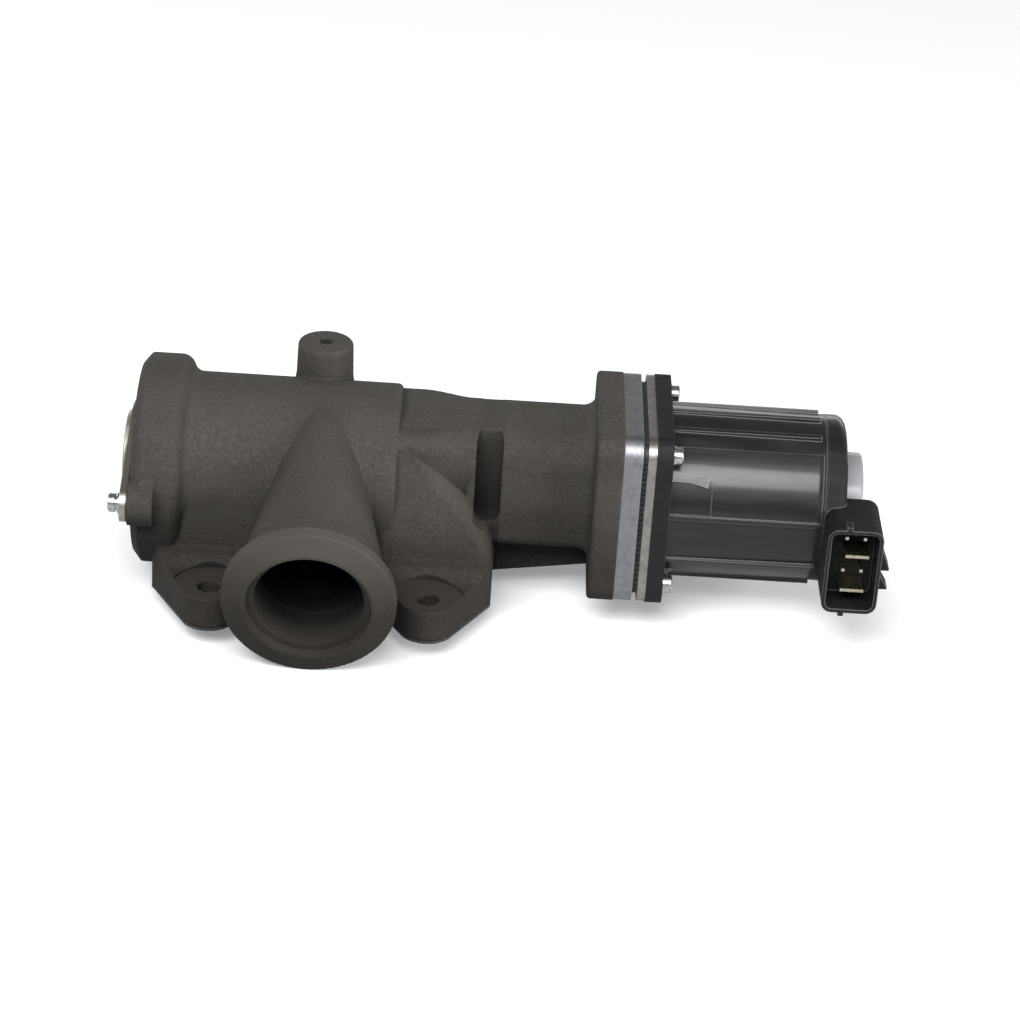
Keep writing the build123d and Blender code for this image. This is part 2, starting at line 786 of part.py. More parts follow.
# ================================================================ motor housing
rib_h = 1.1
rib_half_angle = 1.6
rib_angles = [0.7, 20.4, 82.7, 118.0, 150.0, 180.0, 210.0, 242.0, 277.0, 339.6]
panel_h = 0.35              # raised panel of the housing's front
funnel_angle = 57.6         # flow rib that starts at the flange and widens


def around(angle, radius):
    """Point on a section plane at an angle from the top, turning towards -Y."""
    return (-radius * sin(radians(angle)), radius * cos(radians(angle)))


def panel_sector(from_angle, to_angle):
    """Sector of the motor's barrel, a little proud of it."""
    with BuildSketch() as sector:
        with BuildLine():
            ThreePointArc(
                around(from_angle, motor_r + panel_h),
                around((from_angle + to_angle) / 2, motor_r + panel_h),
                around(to_angle, motor_r + panel_h),
            )
            Polyline(
                around(to_angle, motor_r + panel_h),
                around(to_angle, motor_r - 3),
                around(from_angle, motor_r - 3),
                around(from_angle, motor_r + panel_h),
            )
        make_face()
    return sector.sketch


with BuildPart() as motor_housing:
    with BuildSketch(cross_plane(motor_flange_x)):
        RectangleRounded(square, square, square_corner)
    extrude(amount=motor_flange_t)
    with BuildSketch(cross_plane(motor_x)):
        Circle(motor_r)
    extrude(amount=motor_length, taper=degrees(atan2(motor_taper, motor_length)))
    # ribs along the barrel
    for angle in rib_angles:
        with BuildSketch(cross_plane(motor_x - 1)):
            with BuildLine():
                Polyline(
                    around(angle - 1.6 * rib_half_angle, motor_r - 2.5),
                    around(angle - rib_half_angle, motor_r + rib_h),
                    around(angle + rib_half_angle, motor_r + rib_h),
                    around(angle + 1.6 * rib_half_angle, motor_r - 2.5),
                    close=True,
                )
            make_face()
        extrude(amount=motor_length - 1.5)
    # raised panel on the front, short below the flow rib
    for start_x, from_angle, to_angle in (
        (motor_x - 1, 34.3, funnel_angle),
        (motor_x + 19, funnel_angle - 1, 82.7),
    ):
        with BuildSketch(cross_plane(start_x)):
            add(panel_sector(from_angle, to_angle))
        extrude(amount=motor_x + motor_length - 1.5 - start_x)
    # flow rib, wider at its free end
    funnel_up = radians(90 - funnel_angle)
    with BuildSketch(Plane(origin=(motor_x - 1, 0, axis_z), x_dir=(1, 0, 0),
                           z_dir=(0, -cos(funnel_up), sin(funnel_up))).offset(motor_r - 3)):
        Polygon((0, 1.1), (0, -1.1), (10, -1.1), (18, -3.3), (18, 3.3), (10, 1.1), align=None)
    extrude(amount=3 + rib_h)
    # webs that hold the screw corners
    for angle in (45, 135, 225, 315):
        corner = Plane(
            origin=(motor_x, 0, axis_z),
            x_dir=(1, 0, 0),
            z_dir=(0, cos(radians(angle)), sin(radians(angle))),
        )
        with BuildSketch(corner):
            with BuildLine():
                Polyline((-1, motor_r - 4), (-1, motor_r + 4.6), (9.5, motor_r - 4), close=True)
            make_face()
        extrude(amount=1.1, both=True)
    # inside: bearing seat, then the space for the stator, open at the rear
    with BuildSketch(cross_plane(motor_flange_x)):
        Circle(12.0)
    extrude(amount=motor_flange_t + motor_length, mode=Mode.SUBTRACT)
    with BuildSketch(cross_plane(motor_flange_x + front_seat_wall)):
        Circle(front_bearing_r)
    extrude(amount=motor_flange_t + motor_length, mode=Mode.SUBTRACT)
    with BuildSketch(cross_plane(motor_x + 8.0)):
        Circle(rear_bore_r)
    extrude(amount=motor_length, mode=Mode.SUBTRACT)
    # groove for the O-ring
    with BuildSketch(cross_plane(motor_flange_x)):
        Circle(30.4)
        Circle(27.6, mode=Mode.SUBTRACT)
    extrude(amount=2.3, mode=Mode.SUBTRACT)
    with BuildSketch(cross_plane(motor_flange_x)):
        with screw_places():
            Circle(screw_r + screw_clear)
    extrude(amount=motor_flange_t + 6, mode=Mode.SUBTRACT)
    # flats under the screw heads
    with BuildSketch(cross_plane(motor_x)):
        with screw_places():
            Circle(screw_head_r + 0.9)
    extrude(amount=11, mode=Mode.SUBTRACT)
save(motor_housing.part, "motor_housing")

with BuildPart() as housing_seal:
    with BuildSketch(Plane(origin=(motor_flange_x + 1.15, 0, axis_z), x_dir=(1, 0, 0),
                           z_dir=(0, -1, 0))):
        with Locations((0, 29.0)):
            Circle(1.12)
    revolve(axis=stem_axis)
save(housing_seal.part, "housing_seal")

with BuildPart() as actuator_screws:
    for place_y in (-screw_offset, screw_offset):
        for place_z in (-screw_offset, screw_offset):
            centre = (0, place_y, axis_z + place_z)
            tip_x = square_x + 2.0
            head_end_x = motor_x + screw_head_h
            with BuildSketch(Plane(origin=centre, x_dir=(1, 0, 0), z_dir=(0, -1, 0))):
                with BuildLine():
                    Polyline(
                        (tip_x, 0),
                        (tip_x, screw_r - 0.6),
                        (tip_x + 0.6, screw_r),
                        (motor_x, screw_r),
                        (motor_x, screw_head_r + 0.5),
                        (motor_x + 0.9, screw_head_r + 0.5),
                        (motor_x + 0.9, screw_head_r),
                        (head_end_x - 0.6, screw_head_r),
                        (head_end_x, screw_head_r - 0.7),
                        (head_end_x, 0),
                        close=True,
                    )
                make_face()
            revolve(axis=Axis(centre, (1, 0, 0)))
            with BuildSketch(Plane(origin=(head_end_x, centre[1], centre[2]), x_dir=(0, 1, 0),
                                   z_dir=(1, 0, 0))):
                RegularPolygon(2.3, 6)
            extrude(amount=-2.4, mode=Mode.SUBTRACT)
save(actuator_screws.part, "actuator_screws")

# ================================================================ rear cover and plug socket
rear_r = motor_r - 0.6
rear_boss_r = 22.0
rear_boss_h = 9.0
socket_centre_x = rear_x + 12.9
socket_width = 25.4
socket_top = 13.5
socket_bottom = -28.8
socket_corner = 5.0
socket_wall = 1.8
socket_mouth_y = -59.0
socket_floor_y = -41.0
socket_back_y = -21.0
socket_back_round = 7.0
board_t = 1.6


def socket_plane(y):
    """Plane square to the plug's way at y, facing out; local x is +X, local y is height."""
    return Plane(origin=(socket_centre_x, y, axis_z), x_dir=(1, 0, 0), z_dir=(0, -1, 0))


with BuildPart() as socket_body:
    with BuildSketch(socket_plane(socket_back_y)):
        with Locations((0, (socket_top + socket_bottom) / 2)):
            RectangleRounded(socket_width, socket_top - socket_bottom, socket_corner)
    extrude(amount=socket_back_y - socket_mouth_y)
    back_edge = socket_body.edges().filter_by(Axis.Z).sort_by(Axis.Y)[-2:].sort_by(Axis.X)[-1]
    fillet(back_edge, radius=socket_back_round)

with BuildPart() as rear_cover:
    # rim over the motor's end, and the round boss behind the socket
    with BuildSketch(stem_plane()):
        with BuildLine():
            FilletPolyline(
                (rear_x, 0),
                (rear_x, rear_r),
                (rear_x + rear_rim_t, rear_r),
                (rear_x + rear_rim_t, rear_boss_r),
                (rear_x + rear_rim_t + rear_boss_h, rear_boss_r),
                (rear_x + rear_rim_t + rear_boss_h, 0),
                radius=[0.8, rear_rim_round, 1.0, 1.2],
            )
            Line((rear_x + rear_rim_t + rear_boss_h, 0), (rear_x, 0))
        make_face()
    revolve(axis=stem_axis)
    # spigot that centres it in the motor housing
    with BuildSketch(cross_plane(rear_x - 3.0)):
        Circle(rear_bore_r - 0.15)
    extrude(amount=4.0)
    add(socket_body.part)
    # hollow of the rim
    with BuildSketch(cross_plane(rear_x - 3.0)):
        Circle(rear_bore_r - 3.0)
    extrude(amount=rear_rim_t, mode=Mode.SUBTRACT)
    # hollow of the socket
    with BuildSketch(socket_plane(socket_mouth_y)):
        with Locations((0, (socket_top + socket_bottom) / 2)):
            RectangleRounded(socket_width - 2 * socket_wall,
                             socket_top - socket_bottom - 2 * socket_wall,
                             socket_corner - socket_wall)
    extrude(amount=-(socket_floor_y - socket_mouth_y), mode=Mode.SUBTRACT)
    # lock wedges on the right side
    wedge_x = socket_centre_x + socket_width / 2
    for wedge_top, wedge_bottom in ((3.9, -8.3), (-9.8, -18.0)):
        with BuildSketch(Plane.XZ.offset(-(socket_mouth_y + 13))):
            Polygon(
                (wedge_x - 0.5, axis_z + wedge_top),
                (wedge_x, axis_z + wedge_top),
                (wedge_x + 4.4, axis_z + wedge_bottom + 1.0),
                (wedge_x + 4.4, axis_z + wedge_bottom),
                (wedge_x - 0.5, axis_z + wedge_bottom),
                align=None,
            )
        extrude(amount=8.0)
    # keying nubs above and below the mouth
    for nub_z in (socket_top + 0.7, socket_bottom - 0.7):
        with BuildSketch(Plane.XY.offset(axis_z + nub_z)):
            with Locations((socket_centre_x - 3.2, socket_mouth_y + 3.0)):
                Rectangle(2.6, 6.0)
        extrude(amount=1.0, both=True)
save(rear_cover.part, "rear_cover")

# four signal pins and two power blades stand on the socket's floor
pin_tip_y = -54.0
pin_pitch = 8.3
pin_size = 1.5
blade_width = 10.8
pin_rows = [(0.6, 7.1), (0.3, -9.2)]        # centre, from the socket's, and height
blade_rows = [(2.0, -2.1), (1.2, -19.6)]
with BuildPart() as connector_pins:
    with BuildSketch(socket_plane(socket_floor_y)):
        for centre, height in pin_rows:
            with Locations((centre - pin_pitch / 2, height), (centre + pin_pitch / 2, height)):
                Rectangle(pin_size, pin_size)
        for centre, height in blade_rows:
            with Locations((centre, height)):
                Rectangle(blade_width, pin_size)
    extrude(amount=socket_floor_y - pin_tip_y)
save(connector_pins.part, "connector_pins")

# ================================================================ inside the motor
bearing_front_x = motor_flange_x + front_seat_wall
bearing_front_t = 9.0
stator_x = motor_x + 14.0
stator_length = 34.0
rotor_body_x = stator_x - 2.0
rotor_body_end_x = stator_x + stator_length + 2.0
bearing_rear_x = rotor_body_end_x + 2.0
bearing_rear_t = 8.0
rotor_end_x = bearing_rear_x + bearing_rear_t + 3.0
stator_r = rear_bore_r - 0.1
rotor_body_r = stator_r - back_iron - tooth_height - air_gap - magnet_t

with BuildPart() as lead_screw:
    with BuildSketch(stem_plane()):
        with BuildLine():
            Polyline(
                (stem_right_x, 0),
                (stem_right_x, screw_thread_r + 2.0),
                (stem_right_x + 5.0, screw_thread_r + 2.0),
                (stem_right_x + 5.0, screw_thread_r),
                (rotor_end_x - 4.0, screw_thread_r),
                (rotor_end_x - 3.0, screw_thread_r - 1.0),
                (rotor_end_x - 3.0, 0),
                close=True,
            )
        make_face()
    revolve(axis=stem_axis)
save(lead_screw.part, "lead_screw")

with BuildPart() as rotor_hub:
    with BuildSketch(stem_plane()):
        with BuildLine():
            Polyline(
                (bearing_front_x - 1.0, screw_thread_r + run_clear),
                (bearing_front_x - 1.0, rotor_journal_r),
                (rotor_body_x, rotor_journal_r),
                (rotor_body_x, rotor_body_r),
                (rotor_body_end_x, rotor_body_r),
                (rotor_body_end_x, rotor_journal_r),
                (rotor_end_x, rotor_journal_r),
                (rotor_end_x, screw_thread_r + run_clear),
                close=True,
            )
        make_face()
    revolve(axis=stem_axis)
save(rotor_hub.part, "rotor_hub")

with BuildPart() as rotor_magnets:
    with BuildSketch(cross_plane(stator_x)):
        Circle(rotor_body_r + magnet_t)
        Circle(rotor_body_r, mode=Mode.SUBTRACT)
    extrude(amount=stator_length)
save(rotor_magnets.part, "rotor_magnets")

with BuildPart() as sensor_magnet:
    with BuildSketch(cross_plane(rotor_end_x)):
        Circle(11.0)
        Circle(screw_thread_r + 1.0, mode=Mode.SUBTRACT)
    extrude(amount=2.5)
save(sensor_magnet.part, "sensor_magnet")


def ball_bearing(name, x, thickness, outer_r):
    """Bearing as one piece, with the recess between its rings on both faces."""
    inner_r = rotor_journal_r + run_clear
    with BuildPart() as bearing:
        with BuildSketch(cross_plane(x)):
            Circle(outer_r)
            Circle(inner_r, mode=Mode.SUBTRACT)
        extrude(amount=thickness)
        for face_x in (x, x + thickness - 0.8):
            with BuildSketch(cross_plane(face_x)):
                Circle(outer_r - 2.6)
                Circle(inner_r + 2.4, mode=Mode.SUBTRACT)
            extrude(amount=0.8, mode=Mode.SUBTRACT)
    save(bearing.part, name)


ball_bearing("front_bearing", bearing_front_x, bearing_front_t, front_bearing_r)
ball_bearing("rear_bearing", bearing_rear_x, bearing_rear_t, rear_bearing_r)

# stator: a ring with nine teeth, and a coil on each tooth
tooth_root_r = stator_r - back_iron
tooth_tip_r = rotor_body_r + magnet_t + air_gap
with BuildPart() as stator_core:
    with BuildSketch(cross_plane(stator_x)):
        Circle(stator_r)
        Circle(tooth_root_r, mode=Mode.SUBTRACT)
        with PolarLocations((tooth_tip_r + tooth_root_r + 1) / 2, tooth_count):
            Rectangle(tooth_root_r - tooth_tip_r + 1.5, 5.0)
        with PolarLocations(tooth_tip_r + 1.0, tooth_count):
            Rectangle(2.0, 10.5)
        Circle(tooth_tip_r, mode=Mode.SUBTRACT)
    extrude(amount=stator_length)
save(stator_core.part, "stator_core")

coil_inner_r = tooth_tip_r + 2.4
coil_outer_r = tooth_root_r - 0.5
with BuildPart() as stator_coils:
    for index in range(tooth_count):
        angle = radians(index * 360 / tooth_count)
        coil_plane = Plane(
            origin=(stator_x + stator_length / 2, 0, axis_z),
            x_dir=(1, 0, 0),
            z_dir=(0, cos(angle), sin(angle)),
        )
        with BuildSketch(coil_plane.offset(coil_inner_r)):
            RectangleRounded(stator_length + 8.0, 9.2, 3.5)
            Rectangle(stator_length + 0.4, 5.4, mode=Mode.SUBTRACT)
        extrude(amount=coil_outer_r - coil_inner_r)
save(stator_coils.part, "stator_coils")

# bracket ring carries the rear bearing and the sensor board
with BuildPart() as bearing_bracket:
    with BuildSketch(cross_plane(bearing_rear_x)):
        Circle(stator_r)
        Circle(rear_bearing_r, mode=Mode.SUBTRACT)
    extrude(amount=bearing_rear_t)
    with BuildSketch(cross_plane(bearing_rear_x - 1)):
        Circle(stator_r - 4.0)
        Circle(rear_bearing_r + 4.5, mode=Mode.SUBTRACT)
    extrude(amount=5.0, mode=Mode.SUBTRACT)
save(bearing_bracket.part, "bearing_bracket")

with BuildPart() as sensor_board:
    with BuildSketch(cross_plane(rear_x - 2.0)):
        Circle(rear_bore_r - 3.4)
    extrude(amount=board_t)
save(sensor_board.part, "sensor_board")

# ================================================================ inlet gaskets
gasket_t = 1.4
gasket_window_width = 42.0
for port_x, name in ((left_port_x, "inlet_gasket_left"), (right_port_x, "inlet_gasket_right")):
    with BuildPart() as inlet_gasket:
        with BuildSketch(Plane.XY.offset(-gasket_t)):
            with Locations((port_x, 0)):
                Rectangle(inlet_flange_width, inlet_flange_straight)
            with Locations((port_x, bolt_pitch / 2), (port_x, -bolt_pitch / 2)):
                Circle(lug_r)
            make_hull()
            with Locations((port_x, 0)):
                RectangleRounded(gasket_window_width, port_length, 4.5, mode=Mode.SUBTRACT)
            with Locations((port_x, bolt_pitch / 2), (port_x, -bolt_pitch / 2)):
                Circle(bolt_hole_r + 1.0, mode=Mode.SUBTRACT)
        extrude(amount=gasket_t)
    save(inlet_gasket.part, name)
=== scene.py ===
"""EGR valve: finishes for the packed model, its small surface pieces, and the stage."""
import math
from functools import partial

import bmesh
import bpy
from bpy.props import FloatProperty, FloatVectorProperty, PointerProperty
from mathutils import Euler, Matrix, Vector


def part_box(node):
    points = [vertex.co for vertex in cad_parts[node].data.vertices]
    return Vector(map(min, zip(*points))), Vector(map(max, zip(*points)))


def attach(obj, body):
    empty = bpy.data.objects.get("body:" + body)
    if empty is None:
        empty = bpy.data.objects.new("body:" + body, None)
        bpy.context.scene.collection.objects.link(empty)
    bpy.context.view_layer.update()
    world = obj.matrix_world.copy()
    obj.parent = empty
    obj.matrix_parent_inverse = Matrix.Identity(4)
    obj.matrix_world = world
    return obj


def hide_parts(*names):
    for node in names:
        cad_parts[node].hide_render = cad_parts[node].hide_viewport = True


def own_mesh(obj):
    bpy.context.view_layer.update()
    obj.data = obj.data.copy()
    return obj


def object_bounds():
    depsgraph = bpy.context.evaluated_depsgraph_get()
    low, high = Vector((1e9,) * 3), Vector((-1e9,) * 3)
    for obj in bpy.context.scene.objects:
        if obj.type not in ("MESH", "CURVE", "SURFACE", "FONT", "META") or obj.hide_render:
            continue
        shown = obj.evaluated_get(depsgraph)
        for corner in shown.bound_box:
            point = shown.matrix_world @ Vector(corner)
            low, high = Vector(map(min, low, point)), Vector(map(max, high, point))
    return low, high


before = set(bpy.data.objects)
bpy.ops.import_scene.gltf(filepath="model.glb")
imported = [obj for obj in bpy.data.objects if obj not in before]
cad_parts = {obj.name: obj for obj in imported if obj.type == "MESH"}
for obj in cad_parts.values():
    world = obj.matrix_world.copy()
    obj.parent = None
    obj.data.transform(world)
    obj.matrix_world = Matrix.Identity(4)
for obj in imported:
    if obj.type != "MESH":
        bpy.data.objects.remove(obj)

bl_info = {
    "name": "EGR valve",
    "version": (1, 0, 0),
    "blender": (4, 5, 0),
    "location": "View3D > Sidebar > EGR valve",
    "description": "Finishes, small pieces and stage of an exhaust gas recirculation valve",
    "category": "Object",
}

MM = 0.001
GRAIN_OF_1_MM = 1000        # the scale that makes a texture's grain 1 mm
WAVES_OF_1_MM = 314         # the scale that sets a wave texture's bands 1 mm apart
CAD_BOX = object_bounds()

# places on the valve, in metres, in the frame's own axes
STEM_AXIS = Vector((0.0, 0.0, 0.0475))
OUTLET_ORIGIN = Vector((-0.0025, 0.0, 0.0475))
OUTLET_DIP = math.radians(11.5)
SPOT_FACE = Vector((0.050, 0.0629, 0.0148))                   # the middle of one of the four
MOULD_JOINT = 0.0457                                          # height where the two sand moulds met
MOTOR_FLANGE_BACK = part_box("actuator_mount_plate")[1].x + 0.0076

# where a finish changes, in metres. Two values are an edge: its mask is 0 at the first and 1 at the
# second. Four are a stretch: its mask rises over the first two and falls over the last two.
FLANGE_TURNED = (0.0858, 0.0866)                              # along the outlet's axis
PASSAGE = (0.0, 0.004, 0.082, 0.1)                            # along the outlet's axis, its soot
GAS_BORE = (0.0262, 0.0256)                                   # radius of the outlet's and the neck's
BARREL_BORE = (0.0385, 0.037)                                 # radius
BARREL = (-0.0768, -0.0762, 0.031, 0.033)                     # x, its soot
NECK_BEFORE_POCKET = (0.064, 0.062)                           # x, its soot
NECK_PAST_POCKET = (0.084, 0.086, 0.12, 0.145)                # x, its soot
POCKET_DEPTH = (-0.0268, -0.0255)                             # y of the pocket in the neck's side
POCKET_WIDTH = (0.0680, 0.0686, 0.0805, 0.0811)               # x
SPOT_DISC = (0.0176, 0.0174)                                  # radius of a spot face
CUT_WALL = (0.0171, 0.0174, 0.0177, 0.0181)                   # radius of the wall cut round it
CUT_HEIGHT = (0.0149, 0.0152, 0.030, 0.032)                   # z of that wall
SEAM = (0.080, 0.086)                                         # x where the moulds' seam shows
SOCKET_SIDE = (-0.0205, -0.0225)                              # y
SOCKET_FRONT = (0.2255, 0.2265)                               # x
REAR_PAD = (0.2399, 0.2402)                                   # x
MOTOR_FLANGE = (MOTOR_FLANGE_BACK + 0.0004, MOTOR_FLANGE_BACK)     # x

# the shoulder between the right chamber and the motor neck; its far end lies just inside the neck
SHOULDER_START, SHOULDER_END = 0.0310, 0.0680
SHOULDER_FOOT = 0.0460
SHOULDER_HALF_WIDTH, SHOULDER_TOP, SHOULDER_CORNER = 0.0299, 0.0798, 0.0080
NECK_HALF_WIDTH, NECK_TOP, NECK_CORNER = 0.0268, 0.0808, 0.0150
SHOULDER_STEPS = 16
CORNER_SEGMENTS = 10

# the return spring: its wire's radius, and its turns, of which one at each end is closed
SPRING_WIRE = 0.0013
SPRING_TURNS = 5.5
CLOSED_PITCH = 2.02 * SPRING_WIRE
WIRE_SIDES = 10
STEPS_PER_TURN = 24

# the stage: what the lights point at, and the camera, turned by angles in degrees
LIGHT_AIM = Vector((0.05, 0.0, 0.045))
FLOOR_GAP = 0.0002
CAMERA_PLACE = (0.066352, -1.358599, 0.737123)
CAMERA_TURN = (62.47726, -3.40651, 0.95342)


# ---------------------------------------------------------------- colours and nodes
def linear(colour):
    """The linear RGB of an sRGB hex value such as #4D4A44."""
    channels = [int(colour[i:i + 2], 16) / 255 for i in (1, 3, 5)]
    return tuple(c / 12.92 if c <= 0.04045 else ((c + 0.055) / 1.055) ** 2.4 for c in channels)


def set_inputs(node, inputs):
    """Joins other nodes' outputs to a node's sockets, or sets values on them. The inputs are given by
    name or number, or as a tuple in the sockets' own order. A colour gets full opacity."""
    for key, value in inputs.items() if isinstance(inputs, dict) else enumerate(inputs):
        socket = node.inputs[key]
        if isinstance(value, bpy.types.NodeSocket):
            node.id_data.links.new(value, socket)
        elif socket.type == "RGBA":
            socket.default_value = (*value, 1.0)
        else:
            socket.default_value = value


def add_node(tree, kind, inputs=(), **settings):
    """Adds one shader node with its settings and its inputs."""
    node = tree.nodes.new("ShaderNode" + kind)
    for option, value in settings.items():
        setattr(node, option, value)
    set_inputs(node, inputs)
    return node


def start_material(name, roughness, metallic=0.0):
    """A new material with its shader joined up. Returns the material, add_node for its tree, the
    shader and the object coordinates."""
    material = bpy.data.materials.new(name)
    material.use_nodes = True
    material.node_tree.nodes.clear()
    add = partial(add_node, material.node_tree)
    shader = add("BsdfPrincipled", {"Roughness": roughness, "Metallic": metallic})
    add("OutputMaterial", {"Surface": shader.outputs[0]})
    return material, add, shader, add("TexCoord").outputs["Object"]


def patches(add, place, size, low, high, detail=3.0):
    """A mask in soft patches of about that size in mm; low and high set how sharply they part."""
    noise = add("TexNoise", {"Vector": place, "Scale": GRAIN_OF_1_MM / size, "Detail": detail})
    return add("MapRange", (noise.outputs[0], low, high)).outputs[0]


def mask(add, *bounds):
    """A mask of where every value lies within its own edge or stretch."""
    edges = []
    for value, limits in bounds:
        edges.append((value, *limits[:2]))
        if len(limits) == 4:
            edges.append((value, limits[3], limits[2]))
    whole, *others = (add("MapRange", edge).outputs[0] for edge in edges)
    for other in others:
        whole = add("Math", (whole, other), operation="MULTIPLY").outputs[0]
    return whole


def edge_mask(add, soft_normal):
    """A mask of the edges that a bevelled normal rounds."""
    true_normal = add("NewGeometry").outputs["Normal"]
    agreement = add("VectorMath", (soft_normal, true_normal), operation="DOT_PRODUCT")
    return add("MapRange", (agreement.outputs["Value"], 0.995, 0.93)).outputs[0]


def layered(add, colour, *layers):
    """A colour with others laid over it in turn, each by its own share."""
    for share, layer in layers:
        colour = add("Mix", {0: share, 6: colour, 7: layer}, data_type="RGBA").outputs[2]
    return colour


def relief(add, normal, *layers):
    """The surface's normal under one layer of relief after another. Each is a height from 0 to 1, how
    many mm that stands up, and the share of it that shows."""
    for height, depth, share in layers:
        inputs = {"Height": height, "Distance": depth * MM, "Strength": share}
        if normal is not None:
            inputs["Normal"] = normal
        normal = add("Bump", inputs).outputs[0]
    return normal


def lathe_height(add, place, pitch):
    """Turning marks round the stem's axis, pitch mm apart, on cylinders and on end faces alike."""
    centred = add("Mapping", {"Vector": place, "Location": -STEM_AXIS}).outputs[0]
    x, y, z = add("SeparateXYZ", (centred,)).outputs
    across = add("CombineXYZ", {1: y, 2: z}).outputs[0]
    radius = add("VectorMath", (across,), operation="LENGTH").outputs["Value"]
    travel = add("Math", (x, radius), operation="ADD").outputs[0]
    angle = add("Math", (travel, 2 * math.pi / (pitch * MM)), operation="MULTIPLY").outputs[0]
    return add("Math", (angle,), operation="SINE").outputs[0]


def dress(material, *nodes):
    """Gives CAD nodes their finish."""
    for name in nodes:
        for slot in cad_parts[name].material_slots:
            slot.material = material


# ---------------------------------------------------------------- finishes
def sand_cast_iron(look):
    """Ductile iron as cast in sand and phosphated: a matt brown grey skin, pebbled by the sand, and
    smooth with fine rings where it was turned or spot faced."""
    material, add, shader, place = start_material("phosphated_sand_cast_iron", 0.78)
    x, y, z = add("SeparateXYZ", (place,)).outputs

    # the outlet flange and its bore, turned about the outlet's own axis, with rings 0.9 mm apart
    outlet = add("Mapping", {"Vector": place, "Location": OUTLET_ORIGIN,
                             "Rotation": (math.pi / 2 + OUTLET_DIP, 0, 0)},
                 vector_type="TEXTURE").outputs[0]
    outlet_x, outlet_y, outlet_z = add("SeparateXYZ", (outlet,)).outputs
    outlet_across = add("CombineXYZ", (outlet_x, outlet_y)).outputs[0]
    outlet_radius = add("VectorMath", (outlet_across,), operation="LENGTH").outputs["Value"]
    outlet_turned = mask(add, (outlet_z, FLANGE_TURNED))
    outlet_rings = add("TexWave", {"Vector": outlet, "Scale": WAVES_OF_1_MM / 0.9, "Distortion": 0.4},
                       wave_type="RINGS", rings_direction="Z").outputs[1]

    # the spot faces round the four mounting bolts, folded on to one, with rings 1.1 mm apart
    quarter = add("VectorMath", (place,), operation="ABSOLUTE").outputs[0]
    bolt = add("Mapping", {"Vector": quarter, "Location": -SPOT_FACE}).outputs[0]
    bolt_reach = add("VectorMath", (bolt,), operation="LENGTH").outputs["Value"]
    bolt_across = add("VectorMath", (bolt, (1, 1, 0)), operation="MULTIPLY").outputs[0]
    bolt_radius = add("VectorMath", (bolt_across,), operation="LENGTH").outputs["Value"]
    at_face = add("Math", (z, SPOT_FACE.z, 0.0002), operation="COMPARE").outputs[0]
    spot_faced = add("Math", (mask(add, (bolt_reach, SPOT_DISC)), at_face),
                     operation="MULTIPLY").outputs[0]
    spot_rings = add("TexWave", {"Vector": bolt, "Scale": WAVES_OF_1_MM / 1.1},
                     wave_type="RINGS", rings_direction="Z").outputs[1]
    machined = add("Math", (outlet_turned, spot_faced), operation="MAXIMUM").outputs[0]
    as_cast = add("MapRange", (machined, 0.0, 1.0, 1.0, 0.12)).outputs[0]

    # rounded corners: the sand leaves about 2 mm, the lathe leaves a crisp 0.3 mm
    corner = add("MapRange", (machined, 0.0, 1.0, look.cast_corner, 0.3 * MM)).outputs[0]
    normal = add("Bevel", {"Radius": corner}, samples=4).outputs[0]

    # the drag half of the mould, below the stem, is coarser than the cope, and its colour is darkened towards
    # the bottom as painted shade
    drag = add("MapRange", (z, 0.056, 0.022, 0.3, 1.0)).outputs[0]

    # soot inside the outlet, the barrel and the neck, which also darkens them as painted shade
    stem = add("Mapping", {"Vector": place, "Location": -STEM_AXIS}).outputs[0]
    stem_across = add("VectorMath", (stem, (0, 1, 1)), operation="MULTIPLY").outputs[0]
    stem_radius = add("VectorMath", (stem_across,), operation="LENGTH").outputs["Value"]
    soot_and_shade = mask(add, (outlet_radius, GAS_BORE), (outlet_z, PASSAGE))
    for radius, run in ((BARREL_BORE, BARREL), (GAS_BORE, NECK_BEFORE_POCKET),
                        (GAS_BORE, NECK_PAST_POCKET)):
        inside = mask(add, (stem_radius, radius), (x, run))
        soot_and_shade = add("Math", (soot_and_shade, inside), operation="MAXIMUM").outputs[0]

    # painted shadow: the soot colour laid in the pocket in the neck's side, darker towards its bottom, and on
    # the cut walls round the spot faces
    pocket_shade = add("MapRange", (z, 0.078, 0.048, 0.15, 0.85)).outputs[0]
    pocket = add("Math", (mask(add, (y, POCKET_DEPTH), (x, POCKET_WIDTH)), pocket_shade),
                 operation="MULTIPLY").outputs[0]
    cut_wall = add("Math", (mask(add, (bolt_radius, CUT_WALL), (z, CUT_HEIGHT)), 0.75),
                   operation="MULTIPLY").outputs[0]
    shadowed = add("Math", (pocket, cut_wall), operation="MAXIMUM").outputs[0]

    # colour: patches of two tones, darker sand pits, painted shade in the hollows and corners, and lighter
    # edges that are partly wear and partly a painted highlight
    tone = patches(add, place, 30.0, 0.3, 0.7)
    speckle = patches(add, place, 1.6, 0.36, 0.66, 2.0)
    deep = add("MapRange", (speckle, 0.0, 1.0, 0.22, 0.0)).outputs[0]
    # lighter edges, in patches: partly wear and partly a painted highlight
    handled = add("MapRange", (speckle, 0.2, 0.9, 0.04, 0.25)).outputs[0]
    lighter_edges = add("Math", (edge_mask(add, normal), handled), operation="MULTIPLY").outputs[0]
    # painted shade: ambient occlusion darkens the colour in corners and creases
    hollow = add("AmbientOcclusion", {"Distance": 0.012}, samples=4, only_local=True).outputs["AO"]
    shade = add("MapRange", (hollow, 0.75, 0.25, 0.0, 0.6)).outputs[0]
